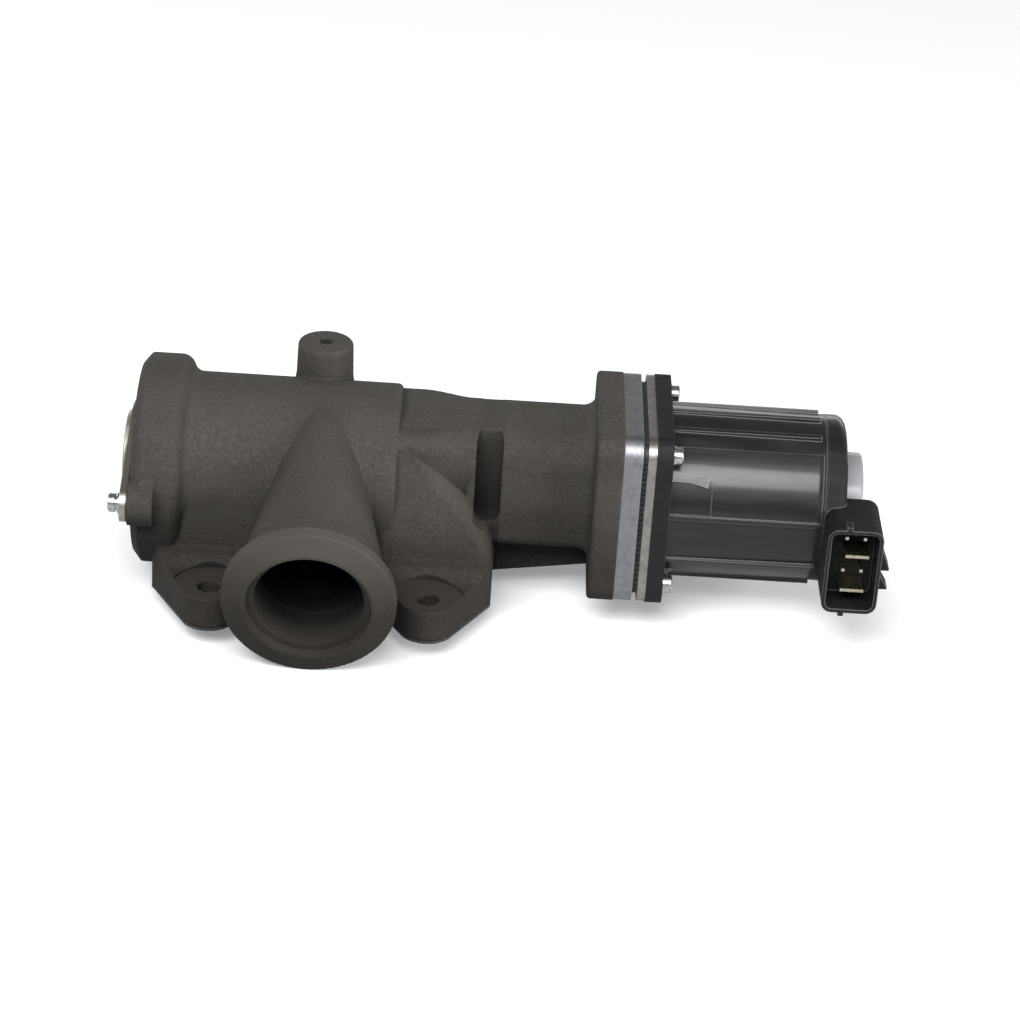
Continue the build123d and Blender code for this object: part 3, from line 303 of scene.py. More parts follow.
    # painted shade: the colour darkens over the lower half, towards the bottom
    lower_painted_shade = add("MapRange", (drag, 0.3, 1.0, 0.0, 0.75)).outputs[0]
    colour = layered(add, look.cast_dark, (tone, look.cast_light), (deep, look.cast_pit_and_shade),
                     (machined, look.cast_turned), (lighter_edges, look.cast_worn_and_highlit_edge), (shade, look.cast_pit_and_shade),
                     (lower_painted_shade, look.cast_lower_shade), (shadowed, look.soot_and_shade), (soot_and_shade, look.soot_and_shade))

    # skin: waves 14 mm across, sand grain about 1.1 mm across, and coarser grain of 3 mm, most of it
    # on the drag half
    wavy = add("TexNoise", {"Vector": place, "Scale": GRAIN_OF_1_MM / 14, "Detail": 1.0}).outputs[0]
    coarse = add("TexNoise", {"Vector": place, "Scale": GRAIN_OF_1_MM / 3.0, "Detail": 2.0,
                              "Roughness": 0.6}).outputs[0]
    fine = add("TexNoise", {"Vector": place, "Scale": GRAIN_OF_1_MM / 1.1, "Detail": 2.0,
                            "Roughness": 0.7}).outputs[0]
    coarse_share = add("Math", (drag, as_cast), operation="MULTIPLY").outputs[0]
    rings = add("Mix", {0: spot_faced, 2: outlet_rings, 3: spot_rings}).outputs[0]
    # the joint of the two sand moulds, a faint raised seam along the motor neck and its flange
    at_joint = add("Math", (z, MOULD_JOINT, 0.0004), operation="COMPARE").outputs[0]
    seam = add("Math", (at_joint, mask(add, (x, SEAM))), operation="MULTIPLY").outputs[0]
    set_inputs(shader, {
        "Base Color": colour,
        "Normal": relief(add, normal, (wavy, 0.9, as_cast), (coarse, 0.55, coarse_share),
                         (fine, look.grain_depth, as_cast), (rings, 0.02, machined), (seam, 0.25, 0.6)),
        "Roughness": add("MapRange", (speckle, 0.0, 1.0, 0.9, 0.68)).outputs[0],
        "Specular IOR Level": 0.28})
    return material


def milled_aluminium(look):
    """A spacer sawn from aluminium bar and milled on its edges: mid grey, streaked along the cut."""
    material, add, shader, place = start_material("milled_aluminium", 0.4, 1.0)
    normal = add("Bevel", {"Radius": 0.6 * MM}, samples=4).outputs[0]
    # the cutter's streaks, 0.7 mm wide and 11 mm long
    along = add("Mapping", {"Vector": place, "Scale": (1400, 90, 90)}).outputs[0]
    streaks = add("TexNoise", {"Vector": along, "Scale": 1.0, "Detail": 3.0}).outputs[0]
    stains = patches(add, place, 2.4, 0.4, 0.7)
    # painted highlight: lighter colour on the bevelled corners, in patches
    bright = add("Math", (edge_mask(add, normal), stains), operation="MULTIPLY").outputs[0]
    set_inputs(shader, {
        "Base Color": layered(add, look.aluminium, (stains, look.aluminium_stain),
                              (bright, look.aluminium_edge_highlight)),
        "Normal": relief(add, normal, (streaks, 0.05, 1.0)),
        "Roughness": add("MapRange", (streaks, 0.3, 0.7, 0.4, 0.56)).outputs[0]})
    return material


def stamped_steel(look):
    """A blanked steel plate, zinc plated and chromated: paler and warmer, with a grained edge."""
    material, add, shader, place = start_material("chromated_steel_plate", 0.42, 1.0)
    normal = add("Bevel", {"Radius": 0.5 * MM}, samples=4).outputs[0]
    haze = patches(add, place, 5.0, 0.35, 0.7)
    # the shear's lines through the plate's thickness, 1.1 mm apart
    sheared = add("Mapping", {"Vector": place, "Scale": (120, 900, 900)}).outputs[0]
    lines = add("TexNoise", {"Vector": sheared, "Scale": 1.0, "Detail": 2.0}).outputs[0]
    set_inputs(shader, {
        "Base Color": layered(add, look.plate, (haze, look.plate_haze)),
        "Normal": relief(add, normal, (lines, 0.04, 1.0)),
        "Roughness": add("MapRange", (haze, 0.0, 1.0, 0.34, 0.52)).outputs[0]})
    return material


def pressed_steel(look):
    """The end cover, pressed from zinc plated sheet: a pale, slightly yellow satin."""
    material, add, shader, place = start_material("zinc_plated_pressing", 0.36, 1.0)
    normal = add("Bevel", {"Radius": 0.5 * MM}, samples=4).outputs[0]
    haze = patches(add, place, 9.0, 0.35, 0.7)
    # the sheet's orange peel, 2.2 mm across
    peel = add("TexNoise", {"Vector": place, "Scale": GRAIN_OF_1_MM / 2.2, "Detail": 2.0}).outputs[0]
    set_inputs(shader, {
        "Base Color": layered(add, look.cover, (haze, look.cover_haze)),
        "Normal": relief(add, normal, (peel, 0.03, 1.0)),
        "Roughness": add("MapRange", (haze, 0.0, 1.0, 0.28, 0.46)).outputs[0]})
    return material


def plated_screw(look):
    """Cold headed screws in bright zinc: almost white metal, with small dull spots."""
    material, add, shader, place = start_material("bright_zinc_plate", 0.24, 1.0)
    normal = add("Bevel", {"Radius": 0.25 * MM}, samples=4).outputs[0]
    dull = patches(add, place, 1.4, 0.45, 0.7)
    # drawing marks under the plating, 0.8 mm across
    drawn = add("TexNoise", {"Vector": place, "Scale": GRAIN_OF_1_MM / 0.8, "Detail": 2.0}).outputs[0]
    set_inputs(shader, {
        "Base Color": layered(add, look.zinc, (dull, look.zinc_dull)),
        "Normal": relief(add, normal, (drawn, 0.02, 1.0)),
        "Roughness": add("MapRange", (dull, 0.0, 1.0, 0.2, 0.42)).outputs[0]})
    return material


def moulded_plastic(look):
    """Glass filled PBT, injection moulded: black and glossy on the drawn walls, with pale lines painted
    along the ribs' edges as highlights, and duller and darker on the flange and the plug socket, which
    come off a sparked part of the tool. The round pad at the back is painted grey as a highlight."""
    material, add, shader, place = start_material("glass_filled_pbt", 0.34)
    normal = add("Bevel", {"Radius": 0.7 * MM}, samples=4).outputs[0]
    x, y, _ = add("SeparateXYZ", (place,)).outputs
    flange = mask(add, (x, MOTOR_FLANGE))
    socket = mask(add, (y, SOCKET_SIDE), (x, SOCKET_FRONT))
    sparked = add("Math", (socket, flange), operation="MAXIMUM").outputs[0]

    # the fibres' bloom, in streaks 6 mm wide and 33 mm long
    flow = add("Mapping", {"Vector": place, "Scale": (30, 170, 170)}).outputs[0]
    fibres = add("TexNoise", {"Vector": flow, "Scale": 1.0, "Detail": 3.0}).outputs[0]
    bloom = add("MapRange", (fibres, 0.4, 0.68)).outputs[0]
    dull = layered(add, look.socket, (patches(add, place, 6.0, 0.4, 0.7), look.socket_grey))
    # painted highlight: pale lines on the bevelled edges, kept mostly off the flange
    edge_highlight_share = add("MapRange", (flange, 0.0, 1.0, 1.0, 0.15)).outputs[0]
    lighter_edges = add("Math", (edge_mask(add, normal), edge_highlight_share), operation="MULTIPLY").outputs[0]

    # the mould's spark eroded grain, drawn 0.6 mm across so that it shows, and sink marks of 22 mm
    grit = add("TexNoise", {"Vector": place, "Scale": GRAIN_OF_1_MM / 0.6, "Detail": 1.0}).outputs[0]
    grit_share = add("MapRange", (sparked, 0.0, 1.0, 0.4, 1.0)).outputs[0]
    sink = add("TexNoise", {"Vector": place, "Scale": GRAIN_OF_1_MM / 22, "Detail": 1.0}).outputs[0]
    gloss = add("MapRange", (fibres, 0.35, 0.7, 0.34, 0.48)).outputs[0]
    duller = add("Math", (sparked, 0.3), operation="MULTIPLY").outputs[0]
    set_inputs(shader, {
        "Base Color": layered(add, look.plastic, (bloom, look.plastic_bloom),
                              # painted highlight: the round pad at the back is laid in grey
                              (mask(add, (x, REAR_PAD)), look.pad), (sparked, dull),
                              (lighter_edges, look.edge_highlight_and_dust)),
        "Normal": relief(add, normal, (grit, 0.04, grit_share), (sink, 0.16, 1.0)),
        "Roughness": add("Math", (gloss, duller), operation="ADD").outputs[0],
        "Coat Weight": add("MapRange", (sparked, 0.0, 1.0, 0.4, 0.0)).outputs[0],
        "Coat Roughness": 0.14,
        "IOR": 1.45})
    return material


def perforated_graphite(look):
    """Graphite foil on a tanged steel core: dark grey, dimpled every 2.6 mm where the tangs hold it."""
    material, add, shader, place = start_material("tanged_graphite_sheet", 0.62, 0.25)
    tangs = add("TexVoronoi", {"Vector": place, "Scale": GRAIN_OF_1_MM / 2.6, "Randomness": 0.0})
    foil = add("MapRange", (tangs.outputs["Distance"], 0.16, 0.34)).outputs[0]
    smear = patches(add, place, 4.0, 0.35, 0.7)
    smeared = layered(add, look.graphite, (smear, look.graphite_smear))
    set_inputs(shader, {
        "Base Color": layered(add, look.graphite_tang, (foil, smeared)),
        "Normal": relief(add, None, (foil, 0.25, 1.0)),
        "Roughness": add("MapRange", (smear, 0.0, 1.0, 0.45, 0.7)).outputs[0]})
    return material


def turned_metal(name, colour, shade, roughness, pitch, depth):
    """A metal part off the lathe: fine marks round the stem's axis, pitch mm apart and depth mm deep,
    and a slight drift of tone."""
    material, add, shader, place = start_material(name, roughness, 1.0)
    drift = patches(add, place, 8.0, 0.35, 0.68)
    rough = add("MapRange", (drift, 0.0, 1.0, roughness - 0.06, roughness + 0.1)).outputs[0]
    set_inputs(shader, {
        "Base Color": layered(add, colour, (drift, shade)),
        "Normal": relief(add, None, (lathe_height(add, place, pitch), depth, 1.0)),
        "Roughness": rough})
    return material


def seal_rubber(look):
    """Fluororubber, moulded: a soft black with a bloom of dust and a skin of 0.7 mm grain."""
    material, add, shader, place = start_material("fluororubber", 0.6)
    dust = patches(add, place, 3.0, 0.4, 0.75)
    skin = add("TexNoise", {"Vector": place, "Scale": GRAIN_OF_1_MM / 0.7, "Detail": 2.0}).outputs[0]
    set_inputs(shader, {
        "Base Color": layered(add, look.rubber, (dust, look.edge_highlight_and_dust)),
        "Normal": relief(add, None, (skin, 0.03, 1.0)),
        "Roughness": add("MapRange", (dust, 0.0, 1.0, 0.5, 0.75)).outputs[0]})
    return material


def tinned_brass(look):
    """Stamped brass terminals with hot dipped tin: warm pale metal, brassy where the tin is thin."""
    material, add, shader, place = start_material("tinned_brass", 0.34, 1.0)
    thin = patches(add, place, 2.0, 0.5, 0.72)
    # the tin's ripples, 0.6 mm across
    ripple = add("TexNoise", {"Vector": place, "Scale": GRAIN_OF_1_MM / 0.6, "Detail": 2.0}).outputs[0]
    set_inputs(shader, {
        "Base Color": layered(add, look.tin, (thin, look.brass)),
        "Normal": relief(add, None, (ripple, 0.02, 1.0)),
        "Roughness": add("MapRange", (thin, 0.0, 1.0, 0.26, 0.45)).outputs[0]})
    return material


def stacked_lamination(look):
    """Electrical steel blanks stacked along the shaft, 0.5 mm each, with dark varnish between them."""
    material, add, shader, place = start_material("varnished_laminations", 0.45, 0.9)
    sheets = add("TexWave", {"Vector": place, "Scale": WAVES_OF_1_MM / 0.5},
                 wave_type="BANDS", bands_direction="X").outputs[1]
    steel = add("MapRange", (sheets, 0.12, 0.3)).outputs[0]
    set_inputs(shader, {
        "Base Color": layered(add, look.varnish, (steel, look.lamination)),
        "Normal": relief(add, None, (steel, 0.08, 1.0)),
        "Roughness": add("MapRange", (steel, 0.0, 1.0, 0.7, 0.42)).outputs[0]})
    return material


def enamelled_wire(look):
    """Coils of enamelled copper wire, 0.7 mm across: glossy red brown strands side by side."""
    material, add, shader, place = start_material("enamelled_copper_wire", 0.28, 0.8)
    strands = add("TexWave", {"Vector": place, "Scale": WAVES_OF_1_MM / 0.7, "Distortion": 0.6,
                              "Detail Scale": 0.2},
                  wave_type="BANDS", bands_direction="DIAGONAL").outputs[1]
    set_inputs(shader, {
        "Base Color": layered(add, look.copper_shade, (strands, look.copper)),
        "Normal": relief(add, None, (strands, 0.2, 1.0)),
        "Coat Weight": 0.6})
    return material


def solder_mask(look):
    """A glass epoxy board under green solder mask, its copper tracks showing as paler lines."""
    material, add, shader, place = start_material("green_solder_mask", 0.35)
    # tracks 0.4 mm wide in a grid of 6 by 2.2 mm, turned to the board's own plane
    on_board = add("Mapping", {"Vector": place, "Rotation": (0, math.pi / 2, 0)}).outputs[0]
    tracks = add("TexBrick", {"Vector": on_board, "Scale": 1.0, "Mortar Size": 0.4 * MM,
                              "Brick Width": 6.0 * MM, "Row Height": 2.2 * MM}).outputs["Fac"]
    set_inputs(shader, {
        "Base Color": layered(add, look.board, (tracks, look.board_track)),
        "Normal": relief(add, None, (tracks, 0.05, 1.0)),
        "Coat Weight": 0.4})
    return material


# ---------------------------------------------------------------- properties
def hue(name, description, colour):
    """A colour that the panel shows, with its default as an sRGB hex value."""
    return FloatVectorProperty(name=name, description=description, subtype="COLOR", size=3,
                               min=0.0, max=1.0, default=linear(colour))


class EgrCasting(bpy.types.PropertyGroup):
    """Colours and grain of the iron body."""
    cast_dark: hue("Dark iron", "The darker of the casting's two tones", "#403D39")
    cast_light: hue("Light iron", "The lighter of the casting's two tones", "#464340")
    cast_pit_and_shade: hue("Pits", "Colour in the sand pits and deep corners", "#26231F")
    # this colour is also the painted shade in corners and creases
    cast_turned: hue("Turned iron", "Colour of the turned and spot faced areas", "#494641")
    # painted shade: this colour darkens the lower half, below the stem
    cast_lower_shade: hue("Drag half", "Tone of the coarser half below the stem", "#26221E")
    # this colour is also the painted shadow in the neck's pocket and on the cut walls round the spot faces,
    # and painted shade inside the passages
    soot_and_shade: hue("Soot", "Inside the outlet and the chambers", "#1A1714")
    # lighter edges: partly wear and partly a painted highlight
    cast_worn_and_highlit_edge: hue("Rubbed edges", "Colour where edges have been handled", "#6A665E")
    cast_corner: FloatProperty(name="Cast corner", description="Radius that the mould leaves on a corner",
                               default=0.0018, min=0.0, unit="LENGTH")
    shoulder_full: FloatProperty(name="Shoulder", description="Where the chamber's shoulder starts to ease",
                                 default=0.042, unit="LENGTH")
    grain_depth: FloatProperty(name="Grain depth", description="Depth of the sand grain, in millimetres",
                               default=0.28, min=0.0)


class EgrMetals(bpy.types.PropertyGroup):
    """Colours of the plates, the cover, the screws and the valve's inner metals."""
    aluminium: hue("Aluminium", "Spacer plate", "#9B9DA1")
    aluminium_stain: hue("Aluminium stain", "Dull patches on the spacer", "#8A8C90")
    # painted highlight on the spacer's corners
    aluminium_edge_highlight: hue("Aluminium edge", "Bright milled corners of the spacer", "#C6C7CC")
    plate: hue("Steel plate", "Plate behind the motor", "#ABAAA4")
    plate_haze: hue("Plate haze", "Dull patches on the plate", "#92918C")
    cover: hue("End cover", "Pressed cover", "#BDBAAC")
    cover_haze: hue("Cover haze", "Dull patches on the cover", "#A6A394")
    zinc: hue("Zinc", "Bright plated screws", "#D6D7D9")
    zinc_dull: hue("Dull zinc", "Spots on the plating", "#A9ABAD")
    stainless: hue("Stainless steel", "Stem, poppets and seat rings", "#A9A7A2")
    stainless_shade: hue("Stainless shade", "Heat tint on the stainless parts", "#847E76")
    bronze: hue("Bronze", "Stem guide and rotor nut", "#A87B45")
    bronze_shade: hue("Bronze shade", "Tarnish on the bronze", "#7F5A33")
    wire: hue("Spring wire", "Oil tempered return spring", "#4C4F55")
    wire_shade: hue("Spring shade", "Darker temper on the spring", "#33363B")
    race: hue("Bearing steel", "Ground bearing rings", "#B4B5B7")
    magnet: hue("Magnet", "Plated magnets", "#7D7C79")
    magnet_shade: hue("Magnet shade", "Edges of the magnets", "#5B5A58")
    tin: hue("Tin", "Terminal plating", "#CFC8B4")
    brass: hue("Brass", "Brass under thin tin", "#B89B5E")
    lamination: hue("Lamination", "Electrical steel", "#85878B")
    varnish: hue("Varnish", "Between the laminations", "#3A3632")
    copper: hue("Copper", "Enamelled wire", "#B3602F")
    copper_shade: hue("Copper shade", "Between the strands", "#4E2513")


class EgrPlastics(bpy.types.PropertyGroup):
    """Colours of the mouldings, the seals, the gaskets and the board."""
    plastic: hue("Motor plastic", "Ribbed motor housing", "#141516")
    plastic_bloom: hue("Plastic bloom", "Glass fibre bloom on the housing", "#1C1D1F")
    # painted highlight along the housing's edges; the seals' dust uses it too
    edge_highlight_and_dust: hue("Plastic edge", "Paler moulded edges", "#6C6D71")
    socket: hue("Socket plastic", "Plug socket and motor flange", "#070707")
    socket_grey: hue("Socket grey", "Paler patches on the socket", "#0D0D0D")
    # painted highlight on the round pad of the rear cover
    pad: hue("Rear pad", "Rubbed grey pad on the rear cover", "#909094")
    rubber: hue("Rubber", "Seals", "#171717")
    graphite: hue("Graphite", "Gasket sheet", "#333436")
    graphite_smear: hue("Graphite smear", "Burnished patches on the sheet", "#47484A")
    graphite_tang: hue("Graphite tang", "Dimples where the tangs grip", "#1B1B1C")
    board: hue("Board", "Solder mask", "#1D5B3A")
    board_track: hue("Board track", "Tracks under the mask", "#3B8558")


class EgrStage(bpy.types.PropertyGroup):
    """Floor, lights and camera."""
    floor_size: FloatProperty(name="Floor size", description="Side of the square floor", default=8.0,
                              min=1.0, unit="LENGTH")
    floor_colour: hue("Floor", "Plain pale floor", "#F4F4F4")
    bounce: FloatProperty(name="Bounce", description="Share of its soft light that the floor throws back up",
                          default=0.22, min=0.0, max=1.0)
    mirrored: FloatProperty(name="Mirrored", description="Share of the floor that shows in glossy surfaces",
                            default=0.55, min=0.0, max=1.0)
    glow: FloatProperty(name="Glow", description="Light that the floor adds of its own", default=0.22,
                        min=0.0, max=1.0)
    key_power: FloatProperty(name="Key light", description="Softbox over the camera, in watts", default=118.0,
                             min=0.0)
    left_power: FloatProperty(name="Left light", description="Softbox on the left, in watts", default=5.0,
                              min=0.0)
    right_power: FloatProperty(name="Right light", description="Softbox on the right, in watts", default=24.0,
                               min=0.0)
    back_power: FloatProperty(name="Back light", description="Wide low softbox behind, in watts", default=9.0,
                              min=0.0)
    sky: FloatProperty(name="Surroundings", description="Brightness of the white surroundings", default=0.16,
                       min=0.0)
    focal_length: FloatProperty(name="Focal length", description="Lens on a 36 mm sensor, in millimetres",
                                default=114.459, min=1.0)


# ---------------------------------------------------------------- pieces
def add_piece(name, shape, material, body):
    """Makes one object of a finished bmesh, gives it its finish and lets it ride on its body."""
    mesh = bpy.data.meshes.new(name)
    shape.to_mesh(mesh)
    shape.free()
    mesh.materials.append(material)
    piece = bpy.data.objects.new(name, mesh)
    bpy.context.scene.collection.objects.link(piece)
    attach(piece, body)
    return piece


def shoulder_section(shape, x, half_width, top, corner):
    """The outline of the shoulder at one place along the stem, its two top corners rounded."""
    foot = [(-half_width, SHOULDER_FOOT), (half_width, SHOULDER_FOOT)]
    head = [(half_width, top), (-half_width, top)]
    outline = [shape.verts.new((x, y, z)) for y, z in foot + head]
    shape.faces.new(outline)
    bmesh.ops.bevel(shape, geom=outline[2:], affect="VERTICES", offset=corner, offset_type="OFFSET",
                    segments=CORNER_SEGMENTS, profile=0.5, material=-1)


# ---------------------------------------------------------------- operators
class EGR_OT_casting(bpy.types.Operator):
    """Finishes the cast iron body"""
    bl_idname = "egr.casting"
    bl_label = "Cast iron body"

    def execute(self, context):
        look = context.scene.egr_casting
        iron = sand_cast_iron(look)
        dress(iron, "valve_housing")
        add_piece("neck_shoulder", self.shoulder(look.shoulder_full), iron, "housing")
        return {"FINISHED"}

    def shoulder(self, full_until):
        """The blend from the right chamber's top into the motor neck: a run of sections, full over
        the chamber and easing down into the neck's own outline."""
        shape = bmesh.new()
        for step in range(SHOULDER_STEPS + 1):
            x = SHOULDER_START + (SHOULDER_END - SHOULDER_START) * step / SHOULDER_STEPS
            share = min(max((x - full_until) / (SHOULDER_END - full_until), 0.0), 1.0)
            ease = share * share * (3 - 2 * share)
            half_width = SHOULDER_HALF_WIDTH + ease * (NECK_HALF_WIDTH - SHOULDER_HALF_WIDTH)
            top = SHOULDER_TOP + ease * (NECK_TOP - SHOULDER_TOP)
            corner = SHOULDER_CORNER + ease * (NECK_CORNER - SHOULDER_CORNER)
            shoulder_section(shape, x, half_width, top, corner)
        sections = sorted(shape.faces, key=lambda face: face.calc_center_median().x)
        bmesh.ops.bridge_loops(shape, edges=[edge for face in sections for edge in face.edges])
        bmesh.ops.delete(shape, geom=sections[1:-1], context="FACES_ONLY")
        bmesh.ops.recalc_face_normals(shape, faces=shape.faces)
        for face in shape.faces:
            face.smooth = True
        for face in (sections[0], sections[-1]):
            for edge in face.edges:
                edge.smooth = False
        return shape


class EGR_OT_plates(bpy.types.Operator):
    """Finishes the spacer, the motor plate and the end cover"""
    bl_idname = "egr.plates"
    bl_label = "Plates and cover"

    def execute(self, context):
        look = context.scene.egr_metals
        dress(milled_aluminium(look), "cooling_spacer")
        dress(stamped_steel(look), "actuator_mount_plate")
        dress(pressed_steel(look), "end_cover")
        return {"FINISHED"}


class EGR_OT_fasteners(bpy.types.Operator):
    """Finishes the screws and bolts"""
    bl_idname = "egr.fasteners"
    bl_label = "Screws and bolts"

    def execute(self, context):
        dress(plated_screw(context.scene.egr_metals), "actuator_screws", "end_cover_bolts")
        return {"FINISHED"}


class EGR_OT_mouldings(bpy.types.Operator):
    """Finishes the motor housing, the rear cover with its socket, the seals and the terminals"""
    bl_idname = "egr.mouldings"
    bl_label = "Plastic mouldings"

    def execute(self, context):
        look = context.scene.egr_plastics
        dress(moulded_plastic(look), "motor_housing", "rear_cover", "bearing_bracket")
        dress(seal_rubber(look), "housing_seal")
        dress(tinned_brass(context.scene.egr_metals), "connector_pins")
        return {"FINISHED"}


class EGR_OT_gaskets(bpy.types.Operator):
    """Finishes the graphite gaskets"""
    bl_idname = "egr.gaskets"
    bl_label = "Gaskets"

    def execute(self, context):
        dress(perforated_graphite(context.scene.egr_plastics), "inlet_gasket_left", "inlet_gasket_right",
              "insulating_gasket", "end_cover_gasket")
        return {"FINISHED"}


class EGR_OT_valve_train(bpy.types.Operator):
    """Finishes the stem, the poppets, their seats, the guide and the return spring"""
    bl_idname = "egr.valve_train"
    bl_label = "Valve and spring"

    def execute(self, context):
        look = context.scene.egr_metals
        steel = turned_metal("turned_stainless_steel", look.stainless, look.stainless_shade,
                             roughness=0.3, pitch=0.5, depth=0.012)
        dress(steel, "valve_stem", "poppet_left", "poppet_right", "stem_nut", "seat_ring_left",
              "seat_ring_right", "spring_retainer", "lead_screw", "stem_seal")
        bronze = turned_metal("turned_bronze", look.bronze, look.bronze_shade,
                              roughness=0.34, pitch=0.5, depth=0.012)
        dress(bronze, "stem_guide", "rotor_hub")
        wire = turned_metal("oil_tempered_spring_wire", look.wire, look.wire_shade,
                            roughness=0.38, pitch=1.2, depth=0.02)
        spring = add_piece("coil_spring", self.coil(), wire, "housing")
        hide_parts("return_spring")
        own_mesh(spring)
        return {"FINISHED"}

    def coil(self):
        """The return spring: round wire wound from its left end to its right, its end turns closed."""
        low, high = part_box("return_spring")
        open_turns = SPRING_TURNS - 2
        open_pitch = (high.x - low.x - 2 * SPRING_WIRE - 2 * CLOSED_PITCH) / open_turns
        shape = bmesh.new()
        first = (low.x + SPRING_WIRE, 0.0, high.z - SPRING_WIRE)
        wire = bmesh.ops.create_circle(shape, segments=WIRE_SIDES, radius=SPRING_WIRE,
                                       matrix=Matrix.Translation(first)
                                       @ Matrix.Rotation(math.pi / 2, 4, "X"))
        end = wire["verts"] + list(shape.edges)
        for turns, pitch in ((1, CLOSED_PITCH), (open_turns, open_pitch), (1, CLOSED_PITCH)):
            steps = round(STEPS_PER_TURN * turns)
            wound = bmesh.ops.spin(shape, geom=end, cent=STEM_AXIS, axis=(1, 0, 0),
                                   angle=2 * math.pi * turns, steps=steps,
                                   dvec=(pitch * turns / steps, 0, 0), use_duplicate=False)
            end = wound["geom_last"]
        bmesh.ops.holes_fill(shape, edges=[edge for edge in shape.edges if edge.is_boundary], sides=0)
        bmesh.ops.recalc_face_normals(shape, faces=shape.faces)
        for face in shape.faces:
            face.smooth = len(face.verts) == 4
        return shape


class EGR_OT_motor_inside(bpy.types.Operator):
    """Finishes the bearings, magnets, stator, coils and sensor board"""
    bl_idname = "egr.motor_inside"
    bl_label = "Inside the motor"

    def execute(self, context):
        look = context.scene.egr_metals
        race = turned_metal("ground_bearing_steel", look.race, look.zinc_dull,
                            roughness=0.22, pitch=0.4, depth=0.006)
        dress(race, "front_bearing", "rear_bearing")
        magnet = turned_metal("nickel_plated_magnet", look.magnet, look.magnet_shade,
                              roughness=0.36, pitch=0.9, depth=0.01)
        dress(magnet, "rotor_magnets", "sensor_magnet")
        dress(stacked_lamination(look), "stator_core")
        dress(enamelled_wire(look), "stator_coils")
        dress(solder_mask(context.scene.egr_plastics), "sensor_board")
        return {"FINISHED"}


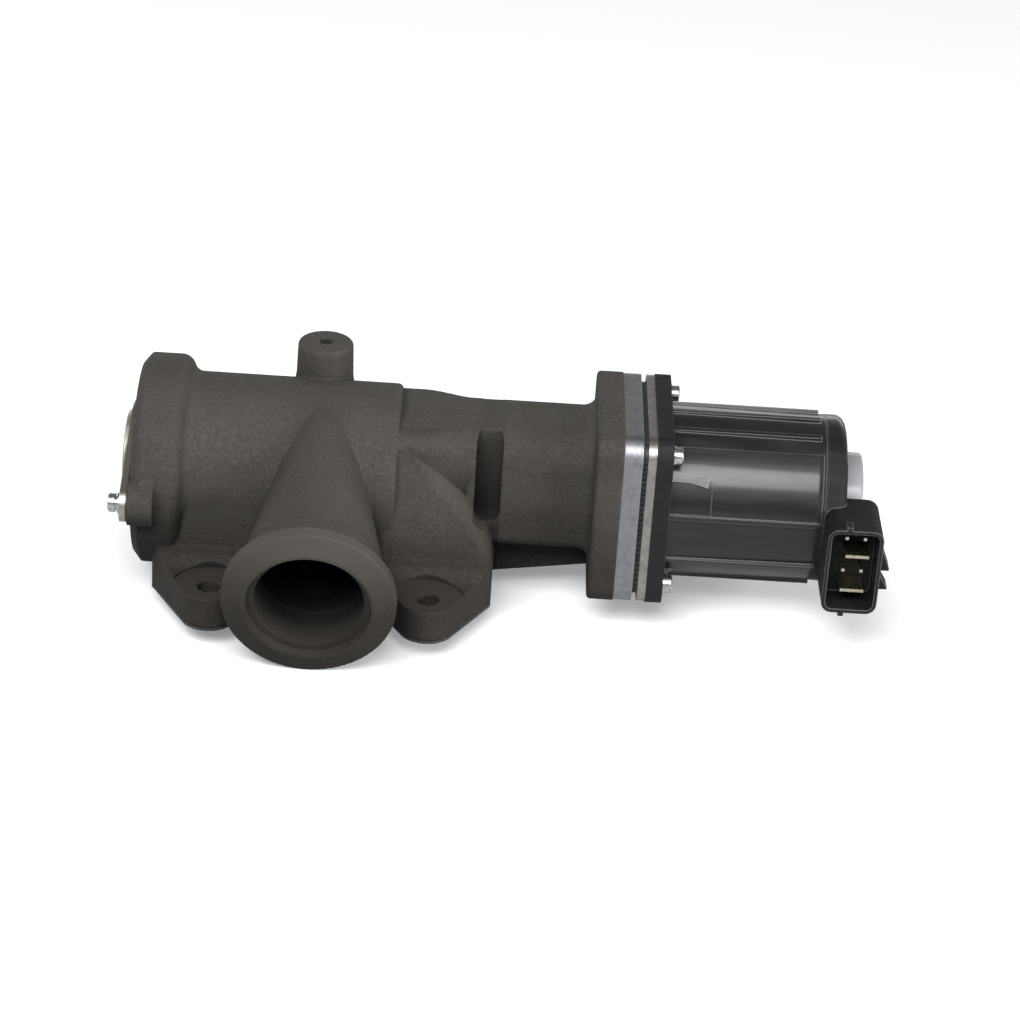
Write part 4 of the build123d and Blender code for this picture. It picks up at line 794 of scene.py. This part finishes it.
class EGR_OT_stage(bpy.types.Operator):
    """Builds the floor, the soft lights and the camera"""
    bl_idname = "egr.stage"
    bl_label = "Stage"

    def execute(self, context):
        stage = context.scene.egr_stage
        scene = context.scene
        scene.view_settings.view_transform = "Standard"

        floor_mesh = bpy.data.meshes.new("floor")
        sheet = bmesh.new()
        bmesh.ops.create_grid(sheet, x_segments=1, y_segments=1, size=stage.floor_size / 2)
        bmesh.ops.translate(sheet, verts=sheet.verts, vec=(0, 0, CAD_BOX[0].z - FLOOR_GAP))
        sheet.to_mesh(floor_mesh)
        sheet.free()
        floor = bpy.data.objects.new("floor", floor_mesh)
        scene.collection.objects.link(floor)
        material, add, shader, place = start_material("matt_white_paper", 0.85)
        # seen directly the paper is white; the light that it throws back up is held down, as flags do,
        # and it glows a little so that its far side stays white
        white = stage.floor_colour
        cloudy, mirrored, held = (tuple(share * c for c in white)
                                  for share in (0.985, stage.mirrored, stage.bounce))
        rays = add("LightPath").outputs
        glow = add("MapRange", (rays["Is Camera Ray"], 0.0, 1.0, 0.0, stage.glow)).outputs[0]
        set_inputs(shader, {
            "Base Color": layered(add, white, (patches(add, place, 400.0, 0.3, 0.7), cloudy),
                                  (rays["Is Glossy Ray"], mirrored), (rays["Is Diffuse Ray"], held)),
            "Emission Color": white,
            "Emission Strength": glow})
        floor_mesh.materials.append(material)

        world = bpy.data.worlds.new("white_surroundings")
        world.use_nodes = True
        set_inputs(world.node_tree.nodes["Background"], {"Color": (1, 1, 1), "Strength": stage.sky})
        scene.world = world

        # each softbox by its place, width and height in metres, and its power
        boxes = (("key_light", (-0.45, -2.0, 2.3), 2.3, 1.35, stage.key_power),
                 ("left_light", (-1.5, 0.35, 0.35), 0.8, 0.6, stage.left_power),
                 ("right_light", (1.6, -0.7, 0.5), 0.8, 0.6, stage.right_power),
                 ("back_light", (0.0, 2.2, 0.35), 3.0, 0.5, stage.back_power))
        for name, where, width, height, power in boxes:
            lamp = bpy.data.lights.new(name, "AREA")
            lamp.shape = "RECTANGLE"
            lamp.size = width
            lamp.size_y = height
            lamp.energy = power
            holder = bpy.data.objects.new(name, lamp)
            holder.location = where
            holder.rotation_euler = (LIGHT_AIM - holder.location).to_track_quat("-Z", "Y").to_euler()
            holder.visible_camera = False
            scene.collection.objects.link(holder)

        lens = bpy.data.cameras.new("camera")
        lens.lens = stage.focal_length
        lens.sensor_width = 36.0
        lens.clip_start = 0.1
        lens.clip_end = 20.0
        camera = bpy.data.objects.new("camera", lens)
        camera.location = CAMERA_PLACE
        camera.rotation_euler = Euler([math.radians(angle) for angle in CAMERA_TURN])
        scene.collection.objects.link(camera)
        bpy.context.scene.camera = camera
        return {"FINISHED"}


class EGR_PT_panel(bpy.types.Panel):
    """Lists the valve's settings and build steps"""
    bl_idname = "EGR_PT_panel"
    bl_label = "EGR valve"
    bl_space_type = "VIEW_3D"
    bl_region_type = "UI"
    bl_category = "EGR valve"

    def draw(self, context):
        for step in STEPS:
            self.layout.operator(step.bl_idname)
        for name, group in GROUPS.items():
            box = self.layout.box()
            box.label(text=group.__doc__)
            for field in group.__annotations__:
                box.prop(getattr(context.scene, name), field)


GROUPS = {"egr_casting": EgrCasting, "egr_metals": EgrMetals, "egr_plastics": EgrPlastics,
          "egr_stage": EgrStage}
STEPS = (EGR_OT_stage, EGR_OT_casting, EGR_OT_plates, EGR_OT_fasteners, EGR_OT_mouldings, EGR_OT_gaskets,
         EGR_OT_valve_train, EGR_OT_motor_inside)


def register():
    for kind in (*GROUPS.values(), *STEPS, EGR_PT_panel):
        bpy.utils.register_class(kind)
    for name, group in GROUPS.items():
        setattr(bpy.types.Scene, name, PointerProperty(type=group))


def unregister():
    for name in GROUPS:
        delattr(bpy.types.Scene, name)
    for kind in reversed((*GROUPS.values(), *STEPS, EGR_PT_panel)):
        bpy.utils.unregister_class(kind)


def main():
    register()
    for step in STEPS:
        getattr(bpy.ops.egr, step.bl_idname.split(".")[1])()


if __name__ == "__main__":
    main()
